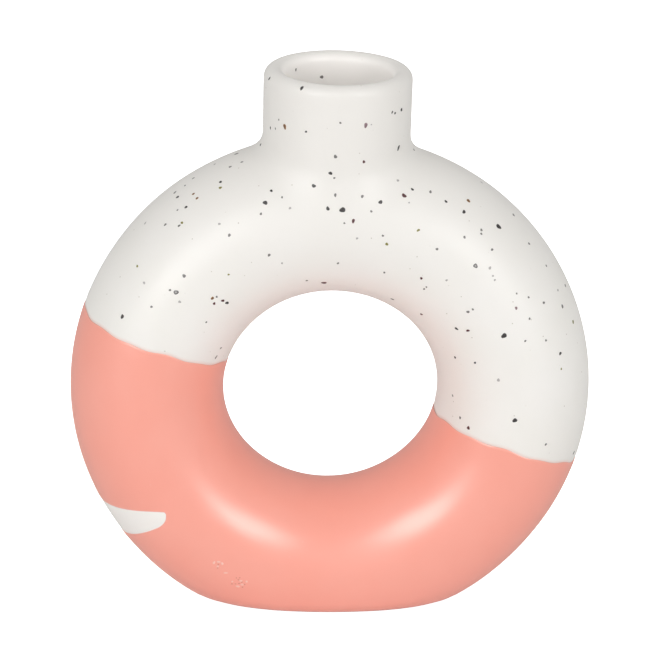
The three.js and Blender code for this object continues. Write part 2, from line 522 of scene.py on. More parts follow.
@dataclass(frozen=True)
class DipLine:
    """Border of the coral dip: a slanted plane through each arm, with a slightly wavy edge."""

    fall_right: float = 0.32
    fall_back: float = 0.114
    left_height: float = 76.55 * MM
    right_height: float = 80.05 * MM
    left_climb: float = 2.2 * MM
    waves: tuple[tuple[float, int, float], ...] = (
        (0.35 * MM, 3, 0.1),
        (0.27 * MM, 7, 1.1),
        (0.24 * MM, 13, -1.6),
    )

    def around(self, form: VaseForm, arm: Arm, across: Array) -> Array:
        """Angle round the ring at which the line crosses the tube.

        On a circle of radius r round the ring's centre, height + fall * x is r times
        sqrt(1 + fall^2) times sin(angle + atan(fall)), so the angle follows from an arcsine. On the
        left arm the line climbs towards the outside with the fourth power of the angle's cosine.

        Args:
            form: Shape of the vase.
            arm: Which crossing.
            across: Angles round the tube.

        Returns:
            Angles round the ring.
        """
        height = self.left_height if arm is Arm.LEFT else self.right_height
        wave = sum(size * np.sin(count * across + phase) for size, count, phase in self.waves)
        depth = form.half_depth * np.sin(across)
        rise = height - form.centre_height - self.fall_back * depth + wave
        if arm is Arm.LEFT:
            rise = rise + self.left_climb * np.maximum(np.cos(across), 0) ** 4
        climb = np.arcsin(rise / (form.reach(across) * math.hypot(1, self.fall_right)))
        lean = math.atan(self.fall_right)
        return math.pi - lean - climb if arm is Arm.LEFT else climb - lean

    def band(
        self, form: VaseForm, start: Arm, near: tuple[float, ...], shape: Span
    ) -> tuple[Array, ...]:
        """Lays a grid over the ring from one crossing to the other, the way that "around" turns.

        Rows near each crossing keep set distances from the line, and the rows between them are
        spread evenly.

        Args:
            form: Shape of the vase.
            start: Crossing that the grid starts from.
            near: Distances of the rows near each crossing, in millimetres.
            shape: Number of rows and of columns.

        Returns:
            Angles round the ring, angles round the tube, and distances from the line.
        """
        rows, columns = shape
        across = np.linspace(-math.pi, math.pi, columns, endpoint=False)[None, :]
        reach = form.reach(across)
        left = self.around(form, Arm.LEFT, across)
        right = self.around(form, Arm.RIGHT, across)
        low, high = (left, right + FULL_TURN) if start is Arm.LEFT else (right, left)
        steps = np.array(near)[:, None] * MM / reach
        first, last = low + steps, (high - steps)[::-1]
        share = np.linspace(0, 1, rows - 2 * len(near) + 2)[1:-1, None]
        middle = first[-1:] + share * (last[:1] - first[-1:])
        around = np.concatenate((first, middle, last))
        edge = reach * np.minimum(around - low, high - around)
        return around, np.broadcast_to(across, around.shape), edge


class GlazeLayer:
    """Layer of glaze that stands for one of the frame's solids.

    Attributes:
        form: Shape of the vase.
        name: Name of the layer's piece.
        slot: Material slot of its finish.
        replaced: Solid of the frame that it stands for.
    """

    form: VaseForm
    name: str
    slot: Slot
    replaced: str

    def surface(self) -> Weave:
        """Weaves the face of the layer."""
        raise NotImplementedError

    def build(self, finish: GlazeFinish) -> Shell:
        """Builds the layer as a piece and dresses it.

        Args:
            finish: Finish of the glaze.

        Returns:
            The piece's shell.
        """
        shell = self.surface().thicken(self.form)
        piece = make_piece(self.name, shell.points, shell.faces, self.replaced)
        finish.dress(piece, shell.edge)
        return shell


@dataclass(frozen=True)
class WhiteCoat(GlazeLayer):
    """White glaze over the upper ring, up the neck, over the lip and down the bore."""

    name = "white_coat"
    slot = Slot.WHITE
    replaced = "white_glaze_coat"
    form: VaseForm
    line: DipLine
    columns: int = 120
    rows: int = 168
    window_rows: Span = (82, 130)
    window_half: int = 32
    tail: float = 1.2 * MM
    slope: float = 3.0 * MM
    drop: float = 0.22 * MM
    tail_drop: float = 0.34 * MM
    tail_rows: tuple[float, ...] = (-1.2, -0.6, -0.2, 0.0, 0.35, 0.8, 1.5, 3.0)
    heel: float = 7.0 * MM
    saddle_rows: int = 24
    wall_rows: int = 14
    lip_rows: int = 14
    bore_rows: int = 16
    thinnest: float = 0.1 * MM

    def sink(self, edge: Array) -> Array:
        """Offset near the dip line: a parabola down to the line, then a straight tail under the dip.

        Args:
            edge: Distance above the line, negative below it.

        Returns:
            Offsets, none of them above the glazed surface.
        """
        above = -self.drop * np.clip(1 - edge / self.slope, 0, 1) ** 2
        below = -self.drop + self.tail_drop * edge / self.tail
        return np.where(edge < 0, below, above)

    def neck_columns(self, border: Array) -> Array:
        """Carries the window's border up the neck.

        From the border to the neck's heel the points run straight and then settle onto the fillet.
        Above it they climb the wall, turn over the lip on a half circle, and go down the bore.

        Args:
            border: Points of the ring round the neck.

        Returns:
            Points, with one row for each border point.
        """
        form = self.form
        turn = np.arctan2(border[:, 1], border[:, 0])
        outward = np.stack((np.cos(turn), np.sin(turn), np.zeros_like(turn)), axis=-1)
        foot = form.neck_radius * outward
        foot[:, 2] = form.ring_top(foot[:, 0], foot[:, 1]) + self.heel
        share = np.linspace(0, 1, self.saddle_rows + 1)[1:, None]
        saddle = form.settle(border[:, None] + share * (foot - border)[:, None])
        lip = form.neck_wall / 2
        crown = form.lip_height - lip
        base = saddle[:, -1, 2][:, None]
        climb = np.linspace(0, 1, self.wall_rows + 1)[1:-1]
        bend = np.linspace(0, math.pi, self.lip_rows + 1)
        root = form.ring_top(*(form.bore_radius * outward[:, :2]).T, form.clay_offset)[:, None]
        fall = np.linspace(0, 1, self.bore_rows + 1)[1:]
        lanes = (len(turn), len(bend))
        height = np.concatenate(
            (
                base + climb * (crown - base),
                np.broadcast_to(crown + lip * np.sin(bend), lanes),
                crown + fall * (root - crown),
            ),
            axis=1,
        )
        radius = np.concatenate(
            (
                np.full(len(climb), form.neck_radius),
                form.bore_radius + lip + lip * np.cos(bend),
                np.full(len(fall), form.bore_radius),
            )
        )
        upper = outward[:, None] * radius[:, None]
        upper[..., 2] = height
        return np.concatenate((saddle, upper), axis=1)

    def surface(self) -> Weave:
        """Weaves the ring's grid and the neck's columns into one surface.

        Returns:
            The surface.
        """
        weave = Weave()
        shape = (self.rows, self.columns)
        around, across, edge = self.line.band(self.form, Arm.RIGHT, self.tail_rows, shape)
        points = self.form.ring_point(around, across, self.sink(edge))
        thickness = np.clip(self.form.coat + self.sink(edge), self.thinnest, None)
        numbers = weave.lay(points, edge, thickness)
        window = Window.centred(self.window_rows, self.columns, self.window_half)
        weave.stitch(numbers, closed=(False, True), windows=(window,))
        columns = self.neck_columns(window.around(points))
        weave.grow(window.around(numbers), columns, NO_BORDER, self.form.coat)
        return weave


@dataclass(frozen=True)
class HalfMoon:
    """Outline of the white patch, as angles: straight lower edge, bulging upper edge, pointed tips."""

    lower: float = math.radians(-144.4 + 360.0)
    bulge: float = math.radians(9.25)
    bulge_half: float = math.radians(88.0)
    tip: float = math.radians(81.8)
    round_from: float = math.radians(69.0)
    round_half: float = math.radians(13.0)
    round_rise: float = math.radians(3.15)

    @staticmethod
    def square(rows: int, columns: int) -> tuple[Array, Array]:
        """Even grid over the square from -1 to 1 that is mapped onto the half moon."""
        return np.meshgrid(np.linspace(-1, 1, rows), np.linspace(-1, 1, columns), indexing="ij")

    def place(self, up: Array, along: Array) -> tuple[Array, Array]:
        """Maps a square onto the half moon.

        Across the tube the square's width is spread evenly from tip to tip. The upper edge is half
        an ellipse above the lower one, and the lower edge is straight but for its tips, which rise
        on a quarter of an ellipse.

        Args:
            up: -1 on the upper edge and 1 on the lower one.
            along: -1 at the front tip and 1 at the back tip.

        Returns:
            Angles round the ring and angles round the tube.
        """
        across = self.tip * along
        over = np.clip((np.abs(across) - self.round_from) / self.round_half, 0, 1)
        lower = self.lower - self.round_rise * (1 - np.sqrt(1 - over**2))
        upper = self.lower - self.bulge * np.sqrt(np.clip(1 - (across / self.bulge_half) ** 2, 0, 1))
        return upper + (up + 1) / 2 * (lower - upper), across


@dataclass(frozen=True)
class CoralDip(GlazeLayer):
    """Coral glaze over the lower ring, open at the wiped foot and round the patch."""

    name = "coral_dip"
    slot = Slot.CORAL
    replaced = "coral_dip_coat"
    form: VaseForm
    line: DipLine
    moon: HalfMoon
    columns: int = 120
    rows: int = 156
    patch_rows: Span = (36, 52)
    patch_half: int = 31
    foot_rows: Span = (62, 121)
    foot_half: int = 22
    foot_wipe: float = 0.5 * MM
    near_rows: tuple[float, ...] = (0.0, 0.1, 0.25, 0.5, 0.9, 1.5, 2.4, 3.6)
    round_edge: float = 0.5 * MM
    edge_drop: float = 0.15 * MM
    bead: float = 0.05 * MM
    bead_width: float = 2.2 * MM
    thin_edge: float = 0.05 * MM
    thin_slope: float = 0.22
    bridge_rows: int = 6
    squeeze: float = 0.7
    halvings: int = 40

    def lift(self, edge: Array) -> Array:
        """Offset near the glaze's border: a quarter round, with a low bead behind it.

        Args:
            edge: Distance from the border.

        Returns:
            Offsets from the glazed surface.
        """
        over = np.clip(1 - edge / self.round_edge, 0, 1)
        turned = -self.edge_drop * (1 - np.sqrt(1 - over**2))
        return turned + self.bead * np.exp(-(((edge - self.bead_width) / self.bead_width) ** 2))

    def wall(self, edge: Array) -> Array:
        """Thickness of the glaze, which runs out towards its border."""
        return np.minimum(self.form.coat, self.thin_edge + self.thin_slope * edge)

    def wiped_edge(self, around: Array, across: Array) -> tuple[Array, Array]:
        """Finds where the dip stops above the foot.

        On the straight way, in angles, from the middle of the foot to each point of the window's
        border, the height grows, so halving the way finds the wiped height.

        Args:
            around: Angles round the ring on the window's border.
            across: Angles round the tube there.

        Returns:
            Angles of the wiped edge.
        """
        low = np.zeros_like(around)
        high = np.ones_like(around)
        for _ in range(self.halvings):
            share = (low + high) / 2
            point = self.form.ring_point(FOOT_ANGLE + share * (around - FOOT_ANGLE), share * across)
            wet = point[:, 2] > self.foot_wipe
            high = np.where(wet, share, high)
            low = np.where(wet, low, share)
        return FOOT_ANGLE + high * (around - FOOT_ANGLE), high * across

    def bridge(
        self,
        weave: Weave,
        window: Window,
        grids: tuple[Array, ...],
        rim: tuple[Array, Array],
    ) -> None:
        """Fills the ground between a window's border and the rim of the opening in it.

        Points run straight, in angles, from the border to the rim. The last rows keep set
        distances from the rim, so its rounding is even.

        Args:
            weave: The surface that is woven.
            window: Block of the grid that is open.
            grids: Point numbers, angles round the ring and angles round the tube of the grid.
            rim: Angles of the opening's rim, in the border's order.
        """
        numbers, around, across = (window.around(grid) for grid in grids)
        around, across, rim_around, rim_across = (turn[:, None] for turn in (around, across, *rim))
        reach = self.form.reach(rim_across)
        width = np.hypot((around - rim_around) * reach, (across - rim_across) * self.form.tube_mean)
        near = np.array(self.near_rows)[::-1] * MM
        last = near * np.minimum(1, self.squeeze * width / near[0])
        share = np.linspace(0, 1, self.bridge_rows + 1)[1:-1]
        edge = np.concatenate((width + share * (last[:, :1] - width), last), axis=1)
        way = 1 - edge / width
        lane_around = around + way * (rim_around - around)
        lane_across = across + way * (rim_across - across)
        points = self.form.ring_point(lane_around, lane_across, self.lift(edge))
        weave.grow(numbers, points, edge, self.wall(edge))

    def surface(self) -> Weave:
        """Weaves the lower ring and bridges its two openings.

        Returns:
            The surface.
        """
        weave = Weave()
        shape = (self.rows, self.columns)
        around, across, edge = self.line.band(self.form, Arm.LEFT, self.near_rows, shape)
        points = self.form.ring_point(around, across, self.lift(edge))
        numbers = weave.lay(points, edge, self.wall(edge))
        patch = Window.centred(self.patch_rows, self.columns, self.patch_half)
        foot = Window.centred(self.foot_rows, self.columns, self.foot_half)
        weave.stitch(numbers, closed=(False, True), windows=(patch, foot))
        grids = (numbers, around, across)
        rows, columns = patch.size
        square = Window((0, rows), (0, columns))
        up, along = (square.around(grid) for grid in self.moon.square(rows + 1, columns + 1))
        self.bridge(weave, patch, grids, self.moon.place(up, along))
        self.bridge(weave, foot, grids, self.wiped_edge(foot.around(around), foot.around(across)))
        return weave


@dataclass(frozen=True)
class MoonPatch(GlazeLayer):
    """White glaze that shows in the half moon, a little lower than the coral round it."""

    name = "moon_patch"
    slot = Slot.WHITE
    replaced = "white_patch"
    form: VaseForm
    moon: HalfMoon
    rows: int = 14
    columns: int = 84
    recess: float = 0.12 * MM
    tuck: float = 0.9 * MM
    tuck_drop: float = 0.3 * MM
    thickness: float = 0.3 * MM
    border_thinning: float = 0.5

    def surface(self) -> Weave:
        """Weaves the patch.

        The square that is mapped onto the half moon gets one more row and column all round, moved
        out of the outline and down, so the patch's border lies under the coral.

        Returns:
            The surface.
        """
        up, along = self.moon.square(self.rows, self.columns)
        around, across = (np.pad(turn, 1, mode="edge") for turn in self.moon.place(up, along))
        border = np.pad(np.zeros_like(up), 1, constant_values=1.0)
        around[0] -= self.tuck / self.form.outer_radius
        around[-1] += self.tuck / self.form.outer_radius
        across[:, 0] -= self.tuck / self.form.tube_mean
        across[:, -1] += self.tuck / self.form.tube_mean
        points = self.form.ring_point(around, across, -self.recess - self.tuck_drop * border)
        thickness = self.thickness * (1 - self.border_thinning * border)
        weave = Weave()
        weave.stitch(weave.lay(points, self.tuck * (1 - border), thickness))
        return weave


@dataclass(frozen=True)
class LinerGlaze(GlazeLayer):
    """Glaze on the inside of the hollow, with a sleeve up through the hole under the neck."""

    name = "liner"
    slot = Slot.LINER
    replaced = "liner_glaze"
    form: VaseForm
    rows: int = 132
    columns: int = 80
    window_rows: Span = (25, 41)
    window_half: int = 16
    bridge_rows: int = 5
    sleeve_rows: int = 4
    thickness: float = 0.6 * MM

    @property
    def offset(self) -> float:
        """Offset of the liner's face from the glazed outside."""
        return self.form.clay_offset - self.form.clay_wall - self.form.bond - self.thickness

    def surface(self) -> Weave:
        """Weaves the inside of the ring, bridged to a round hole at the top and a sleeve above it.

        The hole is the bore's circle set on the hollow's top. Its angles are the arcsine of its
        depth and the arccosine of its width, each over the hollow's own size there.

        Returns:
            The surface, looking into the hollow.
        """
        form = self.form
        weave = Weave()
        around, across = np.meshgrid(
            np.linspace(0, FULL_TURN, self.rows, endpoint=False),
            np.linspace(-math.pi, math.pi, self.columns, endpoint=False),
            indexing="ij",
        )
        points = form.ring_point(around, across, self.offset)
        numbers = weave.lay(points, NO_BORDER, self.thickness)
        window = Window.centred(self.window_rows, self.columns, self.window_half)
        weave.stitch(numbers, closed=(True, True), windows=(window,))
        border_around, border_across = window.around(around), window.around(across)
        border = window.around(points)
        turn = np.arctan2(border[:, 1], border[:, 0])
        x, y = form.bore_radius * np.cos(turn), form.bore_radius * np.sin(turn)
        hole_across = np.arcsin(y / (form.half_depth + self.offset))
        hole_around = np.arccos(x / form.reach(hole_across, self.offset))
        share = np.linspace(0, 1, self.bridge_rows + 1)[1:]
        lane_around = border_around[:, None] + share * (hole_around - border_around)[:, None]
        lane_across = border_across[:, None] + share * (hole_across - border_across)[:, None]
        bridge = form.ring_point(lane_around, lane_across, self.offset)
        climb = np.linspace(0, 1, self.sleeve_rows + 1)[1:]
        base, top = bridge[:, -1, 2][:, None], form.ring_top(x, y, form.clay_offset)[:, None]
        lanes = (len(x), len(climb))
        sleeve = np.stack(
            (
                np.broadcast_to(x[:, None], lanes),
                np.broadcast_to(y[:, None], lanes),
                base + climb * (top - base),
            ),
            axis=-1,
        )
        lanes_up = np.concatenate((bridge, sleeve), axis=1)
        weave.grow(window.around(numbers), lanes_up, NO_BORDER, self.thickness)
        weave.flip()
        return weave


@dataclass(frozen=True)
class PhotoCamera:
    """Camera at the photograph's viewing angle, and the rays through its pixels."""

    azimuth: float = math.radians(-2.76)
    elevation: float = math.radians(21.13)
    roll: float = math.radians(1.54)
    distance: float = 1.0
    aim_height: float = 95 * MM
    focal_px: float = 2921.0
    centre_px: Pair = (331.56, 335.52)
    image_px: float = 660.0
    sensor_mm: float = 36.0

    @property
    def axes(self) -> Array:
        """Directions of the camera: level and upright to its line of sight, then rolled about it.

        Returns:
            Its right, up and backward directions, one a row.
        """
        back = towards(self.azimuth, self.elevation)
        level = np.array((math.cos(self.azimuth), math.sin(self.azimuth), 0.0))
        upright = np.cross(back, level)
        cos, sin = math.cos(self.roll), math.sin(self.roll)
        return np.stack((level * cos + upright * sin, upright * cos - level * sin, back))

    @property
    def place(self) -> Array:
        """Where the camera stands."""
        return np.array((0.0, 0.0, self.aim_height)) + self.distance * self.axes[2]

    def ray(self, px: float, py: float) -> Vector:
        """Direction from the camera through a pixel of the photograph.

        Args:
            px: Column, from the left.
            py: Row, from the top.

        Returns:
            The unit direction.
        """
        right, up, back = self.axes
        aside = (px - self.centre_px[0]) / self.focal_px
        rise = (self.centre_px[1] - py) / self.focal_px
        return Vector(unit(right * aside + up * rise - back))

    def build(self) -> None:
        """Sets up the scene's camera."""
        data = bpy.data.cameras.new("photo_camera")
        data.sensor_width = self.sensor_mm
        data.lens = self.focal_px / self.image_px * self.sensor_mm
        data.shift_x = 0.5 - self.centre_px[0] / self.image_px
        data.shift_y = self.centre_px[1] / self.image_px - 0.5
        camera = bpy.data.objects.new("photo_camera", data)
        turn = Matrix(self.axes.T.tolist()).to_4x4()
        camera.matrix_world = Matrix.Translation(Vector(self.place)) @ turn
        bpy.context.scene.collection.objects.link(camera)
        bpy.context.scene.camera = camera


@dataclass(frozen=True)
class Mark:
    """One mark in a glaze, by its pixel in the photograph.

    Attributes:
        px: Column, from the photograph's left.
        py: Row, from its top.
        radius: Mean radius in millimetres.
        kind: What it is.
        stretch: Its length over its width.
        lean: Direction of its length in the photograph, in degrees above the right.
    """

    px: float
    py: float
    radius: float
    kind: Kind
    stretch: float = 1.0
    lean: float = 0.0


IRON, GREY, FAINT, RUST, MAROON, OLIVE, MAUVE, BUBBLE, BLISTER, PIT = Kind

NECK_SPECKS = (
    (269.4, 78.4, 0.55, IRON, 1.3, 40), (295.9, 69.7, 0.52, GREY, 1.4, 80),
    (321.8, 77.0, 0.66, GREY), (301.7, 88.2, 0.66, IRON, 1.9, 48),
    (278.8, 119.7, 0.36, GREY), (270.4, 127.9, 0.48, IRON, 1.2, 100),
    (275.4, 128.6, 0.38, GREY, 1.2, 120), (284.7, 126.6, 0.85, RUST, 1.3, 105),
    (306.0, 131.7, 0.42, IRON), (340.4, 122.9, 0.40, GREY),
    (365.8, 125.3, 0.80, MAUVE, 1.3, 90), (371.4, 124.6, 0.28, FAINT),
    (392.3, 112.2, 0.46, IRON, 1.2, 60), (395.1, 113.2, 0.46, IRON),
    (401.5, 109.7, 0.62, IRON, 1.2, 80), (260.2, 145.4, 0.75, IRON, 1.2, 60),
    (398.5, 147.9, 0.75, IRON, 1.7, 65), (414.0, 149.8, 0.48, GREY, 1.2, 120),
)

TOP_SPECKS = (
    (335.4, 156.6, 0.64, GREY), (363.9, 161.8, 0.54, MAROON),
    (330.5, 173.3, 0.64, IRON, 1.3, 130), (334.3, 178.0, 0.38, GREY),
    (313.7, 185.9, 0.68, IRON), (335.3, 195.1, 0.55, GREY, 1.3, 90),
    (327.8, 208.5, 0.66, IRON, 1.2, 90), (342.5, 209.9, 0.98, IRON),
    (344.4, 223.2, 0.36, GREY), (353.3, 220.9, 0.66, MAROON, 1.3, 90),
    (362.3, 196.4, 0.55, GREY, 1.3, 90), (371.3, 211.4, 0.42, GREY),
    (380.6, 202.1, 0.72, IRON, 1.2, 60), (397.9, 180.5, 0.50, FAINT),
    (404.1, 195.6, 0.80, MAROON, 1.2, 130), (412.4, 189.3, 0.52, IRON, 1.2, 150),
    (409.1, 202.7, 0.34, FAINT), (265.2, 202.7, 0.80, IRON),
    (271.3, 190.8, 0.50, IRON), (282.0, 197.3, 0.38, GREY),
    (260.9, 213.9, 0.46, GREY), (290.0, 208.2, 0.46, FAINT),
    (269.1, 255.1, 0.54, GREY), (282.0, 263.3, 0.38, FAINT),
    (338.0, 263.3, 0.46, GREY), (357.1, 238.4, 0.42, FAINT),
    (382.9, 235.7, 0.42, GREY), (386.8, 244.1, 0.55, OLIVE),
    (384.3, 272.6, 0.42, GREY), (306.8, 280.6, 0.45, GREY),
    (323.9, 282.8, 0.90, MAROON, 1.3, 5), (392.3, 299.2, 0.55, IRON, 1.4, 165),
)

LEFT_SPECKS = (
    (236.4, 153.8, 0.75, GREY, 1.2, 20), (241.9, 162.0, 0.50, GREY, 1.2, 30),
    (230.1, 166.8, 0.55, GREY, 1.2, 40), (214.7, 164.2, 0.50, FAINT, 1.2, 30),
    (193.3, 178.2, 0.48, GREY, 1.2, 40), (185.0, 185.5, 0.42, GREY),
    (174.9, 192.4, 0.60, GREY, 1.2, 40), (177.5, 197.0, 0.66, IRON, 1.2, 35),
    (193.3, 193.9, 0.52, RUST, 1.2, 40), (197.0, 198.2, 0.54, RUST),
    (186.0, 207.1, 0.58, IRON), (177.5, 210.0, 0.40, GREY),
    (165.2, 224.6, 0.52, GREY, 1.2, 45), (179.1, 225.7, 0.52, GREY, 1.2, 40),
    (181.9, 222.7, 0.52, OLIVE), (145.2, 223.1, 0.50, FAINT, 1.4, 55),
    (220.5, 181.9, 0.56, IRON, 1.2, 20), (220.3, 187.7, 0.58, OLIVE),
    (219.3, 223.9, 0.46, FAINT), (229.3, 235.2, 0.54, GREY),
    (137.2, 266.1, 0.48, OLIVE), (184.1, 275.9, 0.64, GREY, 1.2, 0),
    (144.1, 282.9, 0.50, FAINT), (228.6, 274.6, 0.38, OLIVE),
    (170.0, 290.1, 0.44, GREY), (176.0, 292.3, 0.84, BUBBLE),
    (179.6, 301.8, 0.50, FAINT), (151.5, 306.8, 0.46, GREY),
    (122.3, 316.6, 0.74, IRON, 1.2, 80), (212.4, 298.3, 0.60, RUST),
    (216.7, 296.8, 0.42, GREY), (222.8, 300.7, 0.60, MAROON),
    (227.0, 302.9, 0.64, IRON), (214.2, 303.6, 0.54, MAROON),
    (206.3, 322.2, 0.40, GREY), (220.9, 348.1, 0.50, GREY, 1.2, 60),
    (216.1, 357.2, 0.62, GREY, 1.5, 80),
)

RIGHT_SPECKS = (
    (430.5, 191.8, 0.55, GREY, 1.2, 90), (446.0, 201.5, 0.54, IRON, 1.2, 130),
    (468.4, 200.7, 0.70, RUST), (464.0, 211.8, 0.68, IRON),
    (418.4, 230.2, 0.52, OLIVE, 1.4, 25), (481.6, 182.4, 0.50, FAINT, 1.3, 150),
    (513.6, 214.9, 0.60, GREY, 1.2, 130), (498.6, 226.5, 0.98, IRON, 1.3, 130),
    (481.4, 230.0, 0.50, GREY), (481.3, 233.8, 0.44, GREY),
    (464.5, 237.2, 0.50, GREY), (437.0, 249.1, 0.48, GREY),
    (492.1, 249.6, 0.50, GREY), (529.1, 243.6, 0.52, GREY, 1.2, 120),
    (475.5, 265.9, 0.78, BUBBLE), (489.9, 268.0, 0.55, FAINT),
    (492.9, 275.9, 0.38, FAINT), (494.8, 280.0, 0.40, FAINT),
    (546.3, 265.8, 0.46, GREY), (421.3, 278.3, 0.52, MAROON),
    (424.1, 289.0, 0.40, GREY), (426.4, 287.1, 0.36, GREY),
    (446.6, 280.3, 0.42, FAINT), (516.7, 293.5, 0.36, GREY),
    (528.6, 297.3, 0.42, GREY), (543.8, 302.7, 0.54, GREY),
    (557.9, 290.2, 0.46, FAINT), (565.3, 285.6, 0.62, GREY, 1.2, 120),
    (562.4, 306.4, 0.70, GREY, 1.5, 90), (516.2, 308.1, 0.56, MAUVE),
    (529.6, 318.7, 0.42, GREY), (573.1, 321.9, 0.72, OLIVE, 1.4, 100),
    (468.0, 311.9, 0.56, GREY), (472.8, 309.4, 0.42, GREY),
    (421.4, 314.3, 0.56, MAROON, 1.2, 150), (456.4, 328.7, 0.60, IRON, 1.4, 150),
    (467.9, 330.6, 0.58, MAROON, 1.2, 10), (504.1, 335.7, 0.96, IRON),
    (525.3, 341.0, 0.42, GREY), (546.0, 340.4, 0.44, GREY),
    (560.3, 353.5, 0.62, IRON), (561.3, 368.9, 0.40, OLIVE),
    (455.0, 357.4, 0.50, IRON), (475.0, 362.8, 0.46, IRON),
    (498.4, 380.1, 0.60, FAINT), (452.6, 395.6, 0.44, GREY),
    (460.1, 417.8, 0.52, GREY), (468.4, 428.0, 0.66, MAROON, 1.3, 90),
    (514.8, 420.4, 0.84, IRON), (545.8, 444.4, 0.48, GREY),
    (573.8, 452.7, 0.66, GREY, 1.3, 70),
)

CORAL_SCUFFS = (
    (218.5, 561.9, 0.55, BLISTER, 1.4, 0), (217.8, 566.4, 0.45, BLISTER),
    (214.0, 562.6, 0.55, BLISTER, 1.5, 70), (222.2, 563.6, 0.55, BLISTER, 1.5, 110),
    (218.4, 564.5, 0.36, PIT), (217.6, 568.0, 0.30, PIT),
    (225.7, 572.9, 0.55, BLISTER, 2.2, 10), (236.4, 577.9, 0.30, PIT, 1.3, 130),
    (238.5, 579.8, 0.36, PIT, 1.3, 130), (239.7, 577.8, 0.30, PIT, 1.3, 50),
    (232.0, 583.9, 0.36, PIT, 1.4, 0), (235.6, 583.9, 0.32, PIT, 1.4, 0),
    (239.2, 583.5, 0.36, PIT, 1.6, 0), (241.9, 582.2, 0.32, PIT, 1.4, 30),
    (244.6, 584.4, 0.34, PIT, 1.6, 120), (242.6, 587.2, 0.36, PIT, 1.4, 70),
    (242.1, 584.6, 0.55, BLISTER), (237.8, 586.4, 0.62, BLISTER, 1.8, 0),
    (240.8, 580.8, 0.50, BLISTER, 1.8, 10), (246.6, 581.6, 0.45, BLISTER),
    (232.2, 581.6, 0.40, BLISTER),
)


@dataclass(frozen=True)
class MarkBed:
    """Places, directions, sizes and colours of many marks, one a row."""

    centre: Array
    normal: Array
    along: Array
    radius: Array
    stretch: Array
    core: Array
    rim: Array

    @classmethod
    def read(cls, rows: tuple[tuple, ...], coat: Shell, camera: PhotoCamera) -> MarkBed:
        """Sets marks where the camera's rays through their pixels meet a coat.

        Args:
            rows: Values of the marks, in the order of their attributes.
            coat: Shell that they lie in.
            camera: Camera of the photograph.

        Returns:
            The marks whose rays meet the coat.
        """
        marks = [Mark(*row) for row in rows]
        faces = coat.faces[: coat.outer_faces]
        tree = BVHTree.FromPolygons(coat.points[: coat.outer_points].tolist(), faces.tolist())
        start = Vector(camera.place)
        hits = [tree.ray_cast(start, camera.ray(mark.px, mark.py)) for mark in marks]
        met = [(mark, hit) for mark, hit in zip(marks, hits) if hit[0] is not None]
        normal = np.array([hit[1] for _, hit in met])
        lean = np.radians([mark.lean for mark, _ in met])[:, None]
        right, up, _ = camera.axes
        way = np.cos(lean) * right + np.sin(lean) * up
        return cls(
            centre=np.array([hit[0] for _, hit in met]),
            normal=normal,
            along=unit(way - normal * np.sum(way * normal, axis=1, keepdims=True)),
            radius=np.array([mark.radius * MM for mark, _ in met]),
            stretch=np.array([mark.stretch for mark, _ in met]),
            core=np.array([mark.kind.core for mark, _ in met]),
            rim=np.array([mark.kind.rim for mark, _ in met]),
        )

    def joined(self, other: MarkBed) -> MarkBed:
        """This bed's marks, followed by those of another bed."""
        pairs = zip(vars(self).values(), vars(other).values())
        return MarkBed(*(np.concatenate(pair) for pair in pairs))


